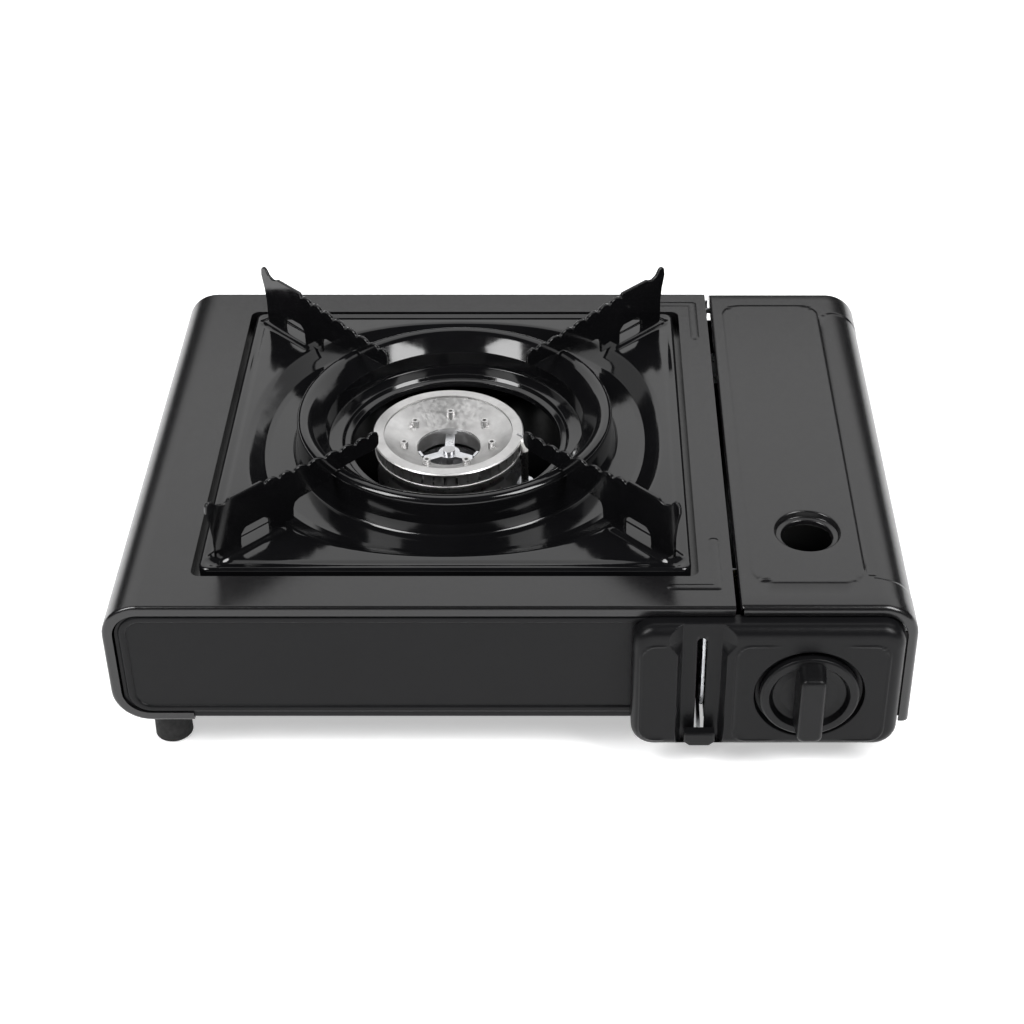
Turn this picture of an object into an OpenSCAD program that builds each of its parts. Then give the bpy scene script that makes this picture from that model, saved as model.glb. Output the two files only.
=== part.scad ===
// Butane cassette stove. Millimetres, +Z up, X to the right, Y to the rear.
// Floor at z = 0. The modules measure y from the front edge of the shell.

/* [Body] */
// width over the shell
body_w = 342; // [338:1:352]
// depth of the shell
body_d = 254.5; // [251:0.5:262]
// height of the top plate above the floor
body_h = 83; // [83:1:88]
// sheet thickness of the shell
sheet = 0.8; // [0.7:0.1:1.0]
// outer radius of the shell corners
corner_r = 16; // [15:1:17]

/* [Cooking area] */
// side of the drip tray
tray_w = 209; // [206:1:210]
// height of the pan rest above the top plate
rest_h = 28.5; // [27:0.5:31]
// thickness of the pan supports
arm_t = 1.5; // [1.2:0.1:2]
// outer radius of the burner head
burner_r = 35; // [34:0.5:36]

/* [Controls] */
// radius of the knob disc
knob_r = 21; // [19.5:0.5:22]
// reach of the knob in front of the shell
knob_reach = 20.2; // [19.2:0.5:23.2]
// travel of the pusher bar
push_travel = 8; // [6:0.5:8]

/* [Hidden] */
$fn = 64;
half_w = body_w / 2;
y_shift = -(body_d - knob_reach) / 2;
top_in = body_h - sheet;
skin_z = 20.2;
rim = 4.5;
edge_r = 1.6;
curl_x = -half_w + 34.1;
// feet
foot_x = [-half_w + 20.8, half_w - 23];
foot_y = [16, body_d - 16];
side_c = half_w - corner_r;
// bay and partition
part_x = half_w - 81;
slit_l = part_x + 3.8;
lid_x = part_x + 6;
bay_r = half_w - 5.4;
bay_z = 10;
axis_x = part_x + 36;
axis_z = body_h - 36.5;
knob_z = body_h - 40.4;
bulk_y = 44;
// pan
pan_z = skin_z + sheet;
floor_z = pan_z + sheet;
pan_top = body_h - rim - 0.7;
wall_y = 1.2;
rear_y = body_d - wall_y;
pan_r = corner_r - 5.3;
fold_r = 1.5;
// tray
cut_w = tray_w + 6;
cut_r = 4;
tray_x = part_x - tray_w / 2 - 13.5;
tray_y = body_d / 2 + 1.45;
tray_up = 1.2;
tray_top = body_h + tray_up;
rib_o = cut_w / 2 + 7.4;
ledge_z = body_h - 7;
ledge_w = tray_w - 10;
dish_r = 94.5;
dish_z = 11.2;
tray_t = 0.8;
// burner
bur_x = tray_x - 3.5;
bur_y = tray_y + 0.8;
tube_z = body_h - 39;
tube_r = 9;
cup_z = tube_z - 10;
elec_x = bur_x + 35.5;
elec_y = bur_y - 9;
bore_r = 14.8;
// lever and pusher
lev_x = part_x - 10.8;
lev_y = 62;
lev_z = body_h - 41;
lev_a = 18.6;
hand_y = -6.5;
lev_t = 1.6;
crank_l = push_travel / (2 * sin(lev_a));
crank_y = lev_y - crank_l * sin(lev_a);
crank_z = lev_z + crank_l * cos(lev_a);
brk_x = part_x - 9;
push_x = part_x - 7;
push_y = body_d - 14.6;
riv_1 = 110;
riv_2 = 205;
pipe_x = part_x - 4;
pipe_z = lev_z + 2;
lead_y = 23;
lead_z = axis_z - 19.5;
lead_run = 84;
// hinge
hin_y = body_d - 7;
hin_z = body_h - 6;
pin_r = 1.5;
fit = 0.05;
// control panel
cp_l = half_w - 120;
cp_r = half_w - 6;
cp_y = -8.5;
cp_z0 = 12.5;
cp_z1 = pan_top;
cp_r2 = 10;
cp_e = 5;
ch_x = part_x - 9.7;
stem_r = 4;

// ---- helpers ----

// Moves a shape from the front-edge measure to the shared frame, centred on the outline.
module place() {
  translate([0, y_shift, 0]) children();
}

// Rounded rectangle, centred.
module rsq(w, h, r) {
  square([w - 2 * r, h], center = true);
  square([w, h - 2 * r], center = true);
  for (i = [-1, 1], j = [-1, 1]) translate([i * (w / 2 - r), j * (h / 2 - r)]) circle(r);
}

// Rounded rectangular ring plate.
module rring(w1, r1, w2, r2, h) {
  linear_extrude(h) difference() {
    rsq(w1, w1, r1);
    rsq(w2, w2, r2);
  }
}

// A 2D profile (x outwards from the corner centre, y up) led round a rounded rectangle.
module frame_sweep(w, h, r) {
  for (i = [0, 1, 2, 3]) {
    a = i % 2 == 0 ? w / 2 - r : h / 2 - r;
    b = i % 2 == 0 ? h / 2 - r : w / 2 - r;
    rotate([0, 0, 90 * i]) {
      translate([a, b, 0]) rotate_extrude(angle = 90) children();
      translate([a, b, 0]) rotate([90, 0, 0]) linear_extrude(2 * b) children();
    }
  }
}

// Solid pad w x h, depth d, corner radius r, front edge rounded by e.
module pad(w, h, r, d, e) {
  linear_extrude(d - e) rsq(w, h, r);
  linear_extrude(d) rsq(w - 2 * e, h - 2 * e, r - e);
  translate([0, 0, d - e]) frame_sweep(w, h, r) intersection() {
    translate([r - e, 0]) circle(e);
    translate([r - e, 0]) square(e);
  }
}

// Turns local z into the -Y direction: x stays, local y becomes z.
module to_front(x, y, z) {
  translate([x, y, z]) rotate([90, 0, 0]) children();
}

// Section of a sheet skin: u across, v outwards, rims turned in at both ends.
module skin(d, depth, t, r) {
  translate([r, -t]) square([d - 2 * r, t]);
  for (m = [0, 1]) translate([m * d, 0]) mirror([m, 0]) {
    translate([0, -depth]) square([t, depth - r]);
    translate([r, -r]) intersection() {
      difference() {
        circle(r);
        circle(r - t);
      }
      translate([-r, 0]) square(r);
    }
  }
}

// Straight runs and corners of the shell skin.
module run_top(x0, x1, z) {
  translate([x0, 0, z]) rotate([90, 0, 90]) linear_extrude(x1 - x0) skin(body_d, rim, sheet, edge_r);
}
module run_bottom(x0, x1, z) {
  translate([x0, 0, z]) rotate([90, 0, 90]) linear_extrude(x1 - x0) mirror([0, 1])
    skin(body_d, rim, sheet, edge_r);
}
module run_side(x, z0, z1) {
  translate([x, 0, z0]) linear_extrude(z1 - z0) rotate(90) skin(body_d, rim, sheet, edge_r);
}
module run_corner(x, z, start) {
  translate([x, 0, z]) rotate([-90, 0, 0]) rotate([0, 0, start]) rotate_extrude(angle = 90)
    translate([corner_r, 0]) mirror([1, -1]) skin(body_d, rim, sheet, edge_r);
}

// Bar between two points of a plane, w1 wide at p and w2 at q, round ends.
module bar2(p, q, w1, w2) {
  d = q - p;
  n = [-d[1], d[0]] / norm(d);
  a = n * (w1 / 2 - 0.05);
  b = n * (w2 / 2 - 0.05);
  polygon([p - a, q - b, q + b, p + a]);
  translate(p) circle(w1 / 2);
  translate(q) circle(w2 / 2);
}

// Round rod between two points.
module rod(p, q, r) {
  d = q - p;
  l = norm(d);
  b = acos(d[2] / l);
  c = atan2(d[1], d[0]);
  translate(p) rotate([0, b, c]) cylinder(r = r, h = l);
}

// Quarter bend about c in the plane turned by v, from angle a, radius r, wire radius w.
module bend(c, v, a, r, w) {
  translate(c) rotate(v) rotate([0, 0, a]) rotate_extrude(angle = 90) translate([r, 0]) circle(w);
}

// Plate in the YZ plane: the 2D child has y across and z up, x0 its left face.
module plate_x(x0, t) {
  translate([x0, 0, 0]) rotate([90, 0, 90]) linear_extrude(t) children();
}

// Plate in the XZ plane: the 2D child has x across and z up, y0 its front face.
module plate_y(y0, t) {
  translate([0, y0 + t, 0]) rotate([90, 0, 0]) linear_extrude(t) children();
}

// Closed outline of a sheet of thickness t under the given upper line.
function dirs(p) = [for (i = [0 : len(p) - 2]) (p[i + 1] - p[i]) / norm(p[i + 1] - p[i])];
function miter(d, i, t) = let(
    a = d[max(i - 1, 0)],
    b = d[min(i, len(d) - 1)],
    s = a + b,
    n = [s[1], -s[0]] / norm(s),
    c = n * [a[1], -a[0]]
  ) n * t / c;
function under(p, t) = let(d = dirs(p)) [for (i = [len(p) - 1 : -1 : 0]) p[i] - miter(d, i, t)];
function sheet_of(p, t) = concat(p, under(p, t));

// Coil spring: mean radius r, wire radius w, height h, n turns of s steps, wire with k sides.
module coil(r, w, h, n, s, k) {
  m = n * s;
  pts = [for (i = [0 : m]) for (j = [0 : k - 1])
    let(a = 360 * i / s, b = 360 * j / k, q = r + w * cos(b))
    [q * cos(a), q * sin(a), w + (h - 2 * w) * i / m + w * sin(b)]];
  sides = [for (i = [0 : m - 1]) for (j = [0 : k - 1])
    [i * k + j, (i + 1) * k + j, (i + 1) * k + (j + 1) % k, i * k + (j + 1) % k]];
  caps = [[for (j = [0 : k - 1]) j], [for (j = [k - 1 : -1 : 0]) m * k + j]];
  polyhedron(pts, concat(sides, caps));
}

// ---- shell ----

module top_shell() {
  place() color("#2b2b2d") {
    difference() {
      union() {
        run_top(-side_c, slit_l, body_h);
        run_corner(-side_c, body_h - corner_r, 180);
        run_side(-half_w, skin_z + corner_r, body_h - corner_r);
        run_corner(-side_c, skin_z + corner_r, 90);
        run_bottom(-side_c, curl_x, skin_z);
      }
      translate([tray_x, tray_y, top_in - 1]) linear_extrude(3) rsq(cut_w, cut_w, cut_r);
      for (y = [40, body_d - 40]) translate([curl_x - 5, y, 0]) cylinder(r = 1.6, h = 40);
      for (y = foot_y) translate([foot_x[0], y, 0]) cylinder(r = 1.6, h = 40);
    }
    translate([tray_x, tray_y, ledge_z - sheet]) {
      rring(cut_w + 2 * sheet, cut_r + sheet, cut_w, cut_r, 7 + sheet);
      rring(cut_w + 2 * sheet, cut_r + sheet, ledge_w, 6, sheet);
    }
    translate([slit_l - sheet, 2, body_h - 4]) cube([sheet, body_d - 4, 4 - sheet / 2]);
    for (s = [-1, 1]) translate([tray_x + rib_o, tray_y + s * rib_o, body_h - 4.5]) {
      rib([-19, 0, 0]);
      rib([0, -32 * s, 0]);
    }
  }
}

// Raised rib on the top plate: the crown of a lying capsule that runs from the origin to p.
module rib(p) {
  intersection() {
    union() {
      rod([0, 0, 0], p, 5);
      sphere(5, $fn = 32);
      translate(p) sphere(5, $fn = 32);
    }
    translate([-50, -50, 4.5 - sheet / 2]) cube([100, 100, 2]);
  }
}

// Pressed field of the front wall; its right end lies behind the control panel.
module pan_field(o) {
  l = -half_w + 7.5;
  r = cp_l + 20;
  b = pan_z + 4.5;
  t = body_h - 6;
  translate([(l + r) / 2, (b + t) / 2]) rsq(r - l - 2 * o, t - b - 2 * o, 9 - o);
}

module base_pan() {
  place() color("#232325") difference() {
    union() {
      translate([curl_x, wall_y, pan_z]) rotate([90, 0, 90]) linear_extrude(part_x - curl_x)
        mirror([0, 1]) skin(rear_y - wall_y, pan_top - pan_z, sheet, fold_r);
      for (y = [wall_y, rear_y - sheet]) plate_y(y, sheet) {
        translate([(curl_x - side_c - 10.7) / 2, (pan_z + pan_top + fold_r) / 2])
          rsq(side_c + curl_x + 10.7, pan_top - pan_z - fold_r, pan_r);
        translate([curl_x - 12, pan_z + fold_r]) square([16, pan_top - pan_z - fold_r]);
      }
      translate([-side_c, wall_y + fold_r, pan_z])
        cube([side_c + curl_x + 1, rear_y - wall_y - 2 * fold_r, sheet]);
      for (y = [wall_y + sheet / 2, rear_y - 12]) translate([-side_c, y, pan_top - sheet])
        cube([side_c + part_x - 12, 12 - sheet / 2, sheet]);
      plate_y(wall_y - 0.7, 0.9) difference() {
        pan_field(0);
        pan_field(2);
        translate([cp_l - 0.2, 0]) square([40, body_h]);
      }
    }
    plate_y(wall_y - 1, 3) translate([lev_x - 1.6, lev_z - 29]) square([5, 58]);
    translate([lev_x - 1.6, wall_y - 1, pan_z - 1])
      cube([5, lev_y - wall_y + 1 - (lev_z - 8 - pan_z) / tan(lev_a), 4]);
    for (i = [0 : 13]) plate_y(rear_y - 2, 4) translate([-side_c + 25 + 14 * i, 44])
      rsq(5, 22, 2.4);
    translate([bur_x, bur_y, 0]) cylinder(r = bore_r, h = 40);
    for (i = [0 : 11]) translate([bur_x, bur_y, 0]) rotate([0, 0, 30 * i]) translate([46, 0, 0])
      cylinder(r = 4.5, h = 40);
    for (y = [40, body_d - 40]) translate([curl_x - 5, y, 0]) cylinder(r = 1.6, h = 40);
    for (y = foot_y) translate([foot_x[0], y, 0]) cylinder(r = 1.6, h = 40);
    for (i = [-1, 1]) translate([bur_x + 36 * i, bur_y, 0]) cylinder(r = 1.6, h = 40);
  }
}

// Section of the trough in the XZ plane.
module trough(o, z1) {
  w = bay_r - part_x - sheet - 2 * o;
  translate([part_x + sheet + o, bay_z + 14]) square([w, z1 - bay_z - 14]);
  translate([(part_x + sheet + bay_r) / 2, bay_z + 14]) rsq(w, 28 - 2 * o, 12 - o);
}

module bay_front() {
  intersection() {
    trough(0, pan_top);
    translate([part_x - 20 + (bay_r - part_x + 20) / 2, pan_top / 2])
      rsq(bay_r - part_x + 20, pan_top, pan_r);
  }
}

module bay_pan() {
  place() color("#232325") difference() {
    union() {
      plate_y(wall_y, body_d - 4 - wall_y) difference() {
        trough(0, 32);
        trough(sheet, 40);
      }
      plate_y(wall_y, body_d - 4 - wall_y) translate([bay_r - sheet, 30])
        square([sheet, body_h - 17 - 30]);
      plate_y(wall_y, sheet) {
        bay_front();
        translate([bay_r - 1, skin_z + 2]) square([half_w - 0.6 - bay_r, body_h - 16 - skin_z]);
      }
      plate_y(body_d - 4 - sheet, sheet) {
        trough(0, body_h - 17);
        translate([part_x + sheet, 40]) square([bay_r - part_x - sheet - 3, body_h - 53.6]);
      }
      plate_x(half_w - 15, sheet * 1.5) difference() {
        union() {
          translate([body_d - 15, 50]) square([11, body_h - 70]);
          translate([body_d - 15, 50]) square([9.4, hin_z - 50]);
          translate([hin_y - 3, hin_z]) circle(4.5);
          translate([hin_y, hin_z]) circle(3.4);
        }
        translate([hin_y, hin_z]) circle(pin_r);
      }
    }
    to_front(axis_x, 5, knob_z) cylinder(r = 11, h = 10);
    for (i = [0 : 5]) translate([axis_x, 72 + 28 * i, bay_z - 1]) linear_extrude(3) rsq(34, 5, 2.4);
    plate_x(part_x, 4) translate([lead_y, lead_z]) circle(2.6);
    plate_x(part_x, 4) translate([18, pipe_z]) circle(4.5);
    for (y = foot_y) translate([foot_x[1], y, 0]) cylinder(r = 1.6, h = 20);
    for (x = [cp_l + 55, cp_r - 12]) to_front(x, 5, 20) cylinder(r = 1.6, h = 10);
  }
}

module partition() {
  place() color("#a9abad") difference() {
    union() {
      translate([part_x, 2.2, floor_z]) cube([sheet, body_d - 6.2 - sheet, top_in - floor_z]);
      translate([part_x - 6, 12, top_in - sheet]) cube([6.4, 220, sheet]);
      translate([part_x - 8, 82, floor_z]) cube([8.4, 160, sheet]);
      plate_y(body_d - 5.4, sheet) {
        translate([part_x, body_h - 13.4]) square([5.2, 9.2]);
        translate([slit_l + 0.3, body_h - 5]) square([1.1, 3.8]);
      }
    }
    plate_x(part_x - 2, 5) {
      for (i = [0 : 5]) translate([84 + 24 * i, body_h - 13]) rsq(16, 8, 3);
      for (i = [0 : 6]) translate([72 + 22 * i, 31]) rsq(12, 6, 2.6);
      translate([push_y + 4.6, axis_z + 1.5]) rsq(14.5, 28, 1.5);
      translate([18, pipe_z]) circle(4.5);
      translate([lead_y, lead_z]) circle(2.6);
      translate([riv_1, crank_z]) circle(2);
      translate([riv_2, crank_z]) circle(2);
      translate([hin_y, hin_z]) circle(pin_r);
    }
  }
}

module bay_bulkhead() {
  place() color("#a9abad") {
    plate_y(bulk_y, 1.2) difference() {
      intersection() {
        translate([part_x + 1.6, bay_z + sheet]) square([bay_r - part_x - 2.4, 46]);
        trough(sheet, body_h);
      }
      translate([axis_x, axis_z]) circle(18.5);
      translate([axis_x - 18.5, axis_z]) square([37, 30]);
      translate([axis_x - 28, 18]) circle(3);
    }
    plate_y(bulk_y, 1.2) translate([part_x + 1.6, axis_z]) square([12, 22]);
    plate_y(bulk_y, 1.2) translate([part_x + 4, body_h - 20]) square([32, 5]);
    translate([axis_x - 2, bulk_y, body_h - 19]) cube([4, 9, 1.2]);
  }
}

module cartridge_lid() {
  hx = axis_x + 2;
  hy = 52.5;
  place() color("#2b2b2d") difference() {
    union() {
      run_top(lid_x, side_c, body_h);
      run_corner(side_c, body_h - corner_r, 270);
      translate([half_w, 0, skin_z]) linear_extrude(body_h - corner_r - skin_z) mirror([1, -1])
        skin(body_d, rim, sheet, edge_r);
      translate([lid_x, 2, body_h - 4]) cube([sheet, body_d - 4, 4 - sheet / 2]);
      translate([hx, hy, 0]) rotate_extrude() polygon(sheet_of([[16.5, body_h], [14.2, body_h],
        [12.6, body_h - 1.6], [11.6, body_h - 2.2], [11, body_h - 3.2], [11, body_h - 4.2]], sheet));
    }
    translate([hx, hy, body_h - 5]) cylinder(r = 11, h = 8);
    translate([hx, hy, body_h - 1.6]) cylinder(r1 = 12.6, r2 = 14.2, h = 1.6);
    translate([hx, hy, body_h - 2.2]) cylinder(r1 = 11.6, r2 = 12.6, h = 0.7);
  }
}

module lid_hinge_leaf() {
  place() color("#b9bbbd") {
    translate([lid_x + 2, hin_y - 10, top_in - 1.2]) cube([52, 14, 1.2]);
    for (x = [lid_x + 2, lid_x + 52.8]) plate_x(x, 1.2) difference() {
      union() {
        translate([hin_y, hin_z]) circle(3.5);
        translate([hin_y - 3.5, hin_z]) square([7, top_in - hin_z - 0.6]);
      }
      translate([hin_y, hin_z]) circle(pin_r + fit);
    }
  }
}

module hinge_rod() {
  place() color("#c9cbcd") {
    rod([part_x - 1.2, hin_y, hin_z], [half_w - 12.6, hin_y, hin_z], pin_r);
    rod([part_x - 2.2, hin_y, hin_z], [part_x, hin_y, hin_z], 2.4);
  }
}

// ---- front controls ----

module channel(o) {
  polygon([[ch_x - 10.4 - o, cp_y - 1], [ch_x - 10.4 - o, cp_y - 0.01], [ch_x - 8.2 - o, cp_y + 4.4 + o],
    [ch_x + 8.2 + o, cp_y + 4.4 + o], [ch_x + 10.4 + o, cp_y - 0.01], [ch_x + 10.4 + o, cp_y - 1]]);
}

module panel_pad(o) {
  cx = (cp_l + cp_r) / 2;
  cz = (cp_z0 + cp_z1) / 2;
  to_front(cx, wall_y, cz) pad(cp_r - cp_l - 2 * o, cp_z1 - cp_z0 - 2 * o, cp_r2 - o,
    wall_y - cp_y - o, cp_e - o);
}

module control_panel() {
  place() color("#1f1f21") difference() {
    union() {
      difference() {
        panel_pad(0);
        panel_pad(sheet);
      }
      intersection() {
        panel_pad(0);
        translate([0, 0, cp_z0 + 1.4]) linear_extrude(body_h) channel(sheet);
      }
      to_front(axis_x, cp_y + 3.6, knob_z) cylinder(r = knob_r + 2.9, h = 3.6);
    }
    translate([0, 0, cp_z0 + 2.2]) linear_extrude(body_h) channel(0);
    plate_y(cp_y, 20) translate([ch_x, cp_z0 + 30.2]) rsq(4, 54.4, 1.9);
    to_front(axis_x, cp_y + 2.8, knob_z) cylinder(r = knob_r + 2.1, h = 5);
    to_front(axis_x, 5, knob_z) cylinder(r = 9.5, h = 20);
    for (x = [cp_l + 55, cp_r - 12]) to_front(x, 5, 20) cylinder(r = 1.6, h = 20);
  }
}

module knob() {
  f = knob_reach + cp_y;
  place() color("#151516") difference() {
    union() {
      to_front(axis_x, cp_y + 2.2, knob_z) cylinder(r = knob_r, h = 3.2);
      to_front(axis_x, cp_y - 1, knob_z) cylinder(r1 = knob_r, r2 = knob_r - 1, h = 1);
      to_front(axis_x, cp_y - 1, knob_z) pad(11, 2 * knob_r - 6, 4.5, f - 1, 1.6);
      to_front(axis_x, cp_y + 3.6, knob_z) cylinder(r = 7, h = 3);
    }
    difference() {
      to_front(axis_x, cp_y + 0.8, knob_z) cylinder(r1 = knob_r - 6.5, r2 = knob_r - 4.5, h = 3);
      to_front(axis_x, cp_y + 1, knob_z) linear_extrude(f) rsq(11, 2 * knob_r - 6, 4.5);
    }
    to_front(axis_x, 0, knob_z) cylinder(r = stem_r + 0.02, h = 17);
  }
}

module valve_stem() {
  place() color("#c2a35a") {
    to_front(axis_x, 16, knob_z) cylinder(r = stem_r, h = 32.8);
    to_front(axis_x, -1.2, knob_z) cylinder(r = 7.5, h = 2.6);
    to_front(axis_x, -1.2, knob_z) linear_extrude(2.6) bar2([0, 0], [9, 0], 8, 5);
  }
}

module lock_lever() {
  h = [hand_y, lev_z - (lev_y - hand_y) * tan(lev_a)];
  place() color("#b9bbbd") plate_x(lev_x, lev_t) difference() {
    union() {
      bar2([lev_y, lev_z], h, 15, 5);
      bar2([lev_y, lev_z], [crank_y, crank_z], 15, 7);
    }
    translate([lev_y, lev_z]) circle(3 + fit);
    translate([crank_y, crank_z]) circle(1.5);
  }
}

module lever_cap() {
  z0 = lev_z - (lev_y - hand_y) * tan(lev_a);
  place() color("#151516") difference() {
    to_front(ch_x, hand_y + 0.3, z0) linear_extrude(4.6) polygon([[-6.6, 3.2], [-6.6, -1.6],
      [-4.4, -3.6], [4.4, -3.6], [6.6, -1.6], [6.6, 3.2]]);
    plate_x(lev_x, lev_t) bar2([lev_y, lev_z], [hand_y, z0], 15, 5.04);
  }
}

module lever_bracket() {
  place() color("#c4c6c8") {
    plate_x(brk_x, 1.2) difference() {
      union() {
        translate([2.2, floor_z + 6]) square([74, body_h - 20 - floor_z]);
        translate([9, floor_z]) square([67.2, 8]);
        translate([lev_y, lev_z]) circle(10);
      }
      translate([lev_y, lev_z]) circle(3);
      translate([lev_y, crank_z - 1]) rsq(push_travel + 9, 9, 2);
      translate([28, 60]) rsq(26, 10, 3);
      translate([26, 33]) rsq(24, 8, 3);
    }
    translate([brk_x, 30, floor_z]) cube([7.8, 44, sheet]);
  }
}

module lever_pivot() {
  place() color("#c9cbcd") {
    rod([lev_x - 1.6, lev_y, lev_z], [brk_x + 2.2, lev_y, lev_z], 3);
    rod([lev_x - 2.8, lev_y, lev_z], [lev_x - 0.15, lev_y, lev_z], 4.8);
    rod([brk_x + 1.2, lev_y, lev_z], [brk_x + 2.4, lev_y, lev_z], 4.4);
  }
}

module crank_pin() {
  place() color("#c9cbcd") {
    rod([lev_x, crank_y, crank_z], [push_x + 2.8, crank_y, crank_z], 1.5);
    rod([push_x + 1.8, crank_y, crank_z], [push_x + 2.8, crank_y, crank_z], 2.6);
  }
}

module pusher_bar() {
  place() color("#b9bbbd") {
    plate_x(push_x, lev_t) difference() {
      translate([crank_y - 5, crank_z - 5.5]) square([push_y + 1.6 - crank_y + 5, 11]);
      translate([crank_y, crank_z]) rsq(3.3, 8, 1.6);
      for (y = [riv_1, riv_2]) translate([y - push_travel / 2, crank_z])
        rsq(push_travel + 5, 4.2, 2);
    }
    plate_y(push_y, lev_t) {
      translate([push_x, crank_z - 5.5]) square([10, 11]);
      translate([push_x + 6, axis_z - 9]) square([axis_x - push_x + 4, 18]);
    }
  }
}

module pusher_rivets() {
  place() color("#c9cbcd") for (y = [riv_1, riv_2]) {
    rod([push_x - 1.4, y, crank_z], [part_x + sheet, y, crank_z], 2);
    rod([push_x - 1.4, y, crank_z], [push_x - 0.2, y, crank_z], 4);
    rod([push_x + lev_t + 0.2, y, crank_z], [part_x, y, crank_z], 4);
    rod([part_x + sheet, y, crank_z], [part_x + 2, y, crank_z], 3.4);
  }
}

// ---- gas ----

module regulator_body() {
  place() color("#b4b7ba") difference() {
    union() {
      plate_y(8, 28) translate([axis_x, axis_z]) rsq(38, 32, 4);
      to_front(axis_x, 8.5, knob_z) cylinder(r = 9, h = 8.5);
      to_front(axis_x, 46, axis_z) cylinder(r = 13, h = 11);
      to_front(axis_x, 46, axis_z) cylinder(r = 16, h = 5);
      translate([axis_x, 23.5, axis_z + 12]) cylinder(r = 19, h = 7);
      translate([axis_x, 23.5, axis_z + 10]) cylinder(r1 = 12, r2 = 19, h = 6);
    }
    to_front(axis_x, 16, knob_z) cylinder(r = stem_r + fit, h = 20);
    to_front(axis_x, 47, axis_z) cylinder(r = 2.05, h = 12);
    to_front(axis_x, 47, axis_z) cylinder(r = 8.5, h = 4);
    to_front(axis_x, 43.1, axis_z) cylinder(r = 4.2, h = 2.4);
    translate([axis_x, 23.5, axis_z + 15]) cylinder(r = 12, h = 5);
    translate([axis_x - 22, 18, pipe_z]) rotate([0, 90, 0]) cylinder(r = 2.5, h = 8);
    for (i = [0 : 3]) translate([axis_x, 23.5, axis_z + 13]) rotate([0, 0, 45 + 90 * i])
      translate([15.8, 0, 0]) cylinder(r = 1.3, h = 10);
  }
}

module diaphragm_cover() {
  z0 = axis_z + 19;
  place() color("#c4c6c8") translate([axis_x, 23.5, 0]) difference() {
    rotate_extrude() polygon(sheet_of([[19, z0 + 1.2], [12.5, z0 + 1.2], [11.5, z0 + 8], [9.5, z0 + 10],
      [0.01, z0 + 10]], 1.2));
    for (i = [0 : 3]) rotate([0, 0, 45 + 90 * i]) translate([15.8, 0, 0]) cylinder(r = 1.5, h = 100);
  }
}

module cover_screws() {
  place() color("#c9cbcd") for (i = [0 : 3]) translate([axis_x, 23.5, 0]) rotate([0, 0, 45 + 90 * i])
    translate([15.8, 0, 0]) difference() {
      union() {
        translate([0, 0, axis_z + 13]) cylinder(r = 1.3, h = 8);
        translate([0, 0, axis_z + 20.2]) cylinder(r = 2.6, h = 1.6);
      }
      translate([-2, -0.3, axis_z + 21.2]) cube([4, 0.6, 1]);
    }
}

module diaphragm_spring() {
  place() color("#9a9c9e") translate([axis_x, 23.5, axis_z + 16]) coil(6, 0.7, 11, 4, 14, 6);
}

module socket_seal() {
  place() color("#101010") to_front(axis_x, 41.9, axis_z) rotate_extrude() translate([3.1, 0]) circle(1);
}

module gas_pipe() {
  place() color("#b98a4a") {
    rod([axis_x - 15, 18, pipe_z], [pipe_x + 6, 18, pipe_z], 2.5);
    bend([pipe_x + 6, 24, pipe_z], [0, 0, 0], 180, 6, 2.5);
    rod([pipe_x, 24, pipe_z], [pipe_x, bur_y - 6, pipe_z], 2.5);
    bend([pipe_x - 6, bur_y - 6, pipe_z], [0, 0, 0], 0, 6, 2.5);
    rod([pipe_x - 6, bur_y, pipe_z], [pipe_x - 9, bur_y, pipe_z], 2.5);
  }
}

module jet() {
  place() color("#c2a35a") difference() {
    union() {
      rod([pipe_x - 8, bur_y, pipe_z], [pipe_x - 12, bur_y, pipe_z], 4.6);
      rod([pipe_x - 12, bur_y, pipe_z], [pipe_x - 18, bur_y, pipe_z], 3.4);
    }
    rod([pipe_x - 7, bur_y, pipe_z], [pipe_x - 10, bur_y, pipe_z], 2.5);
    rod([pipe_x - 7, bur_y, pipe_z], [pipe_x - 19, bur_y, pipe_z], 0.4);
  }
}

// The tube is turned about its own axis, which runs along X.
module mixing_tube() {
  mouth = pipe_x - 15.2;
  l = mouth - bur_x - 20;
  place() color("#b9bbbd") translate([bur_x + 20, bur_y, tube_z]) rotate([0, 90, 0]) difference() {
    rotate_extrude() polygon(sheet_of([[tube_r, 0], [tube_r, l - 26], [7.5, l - 18], [11, l - 8],
      [11.5, l], [3.45, l]], sheet));
    for (i = [0, 1, 2]) rotate([0, 0, 30 + 120 * i]) translate([7.2, 0, l - 3]) linear_extrude(6)
      rsq(4.5, 8, 1.8);
  }
}

// ---- burner ----

module burner_bracket() {
  place() color("#c4c6c8") difference() {
    union() {
      translate([bur_x - 30, bur_y - 17, cup_z - 1.2]) cube([60, 34, 1.2]);
      for (i = [-1, 1]) translate([bur_x + i * 30 - 0.6, bur_y - 10, floor_z])
        cube([1.2, 20, cup_z - floor_z]);
      for (i = [0, 1]) translate([bur_x - 41 + 70 * i, bur_y - 10, floor_z]) cube([12, 20, 1.2]);
    }
    translate([bur_x, bur_y, 0]) cylinder(r = 13.6, h = 60);
    for (i = [-1, 1]) translate([bur_x + 36 * i, bur_y, 0]) cylinder(r = 1.6, h = 26);
  }
}

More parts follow.
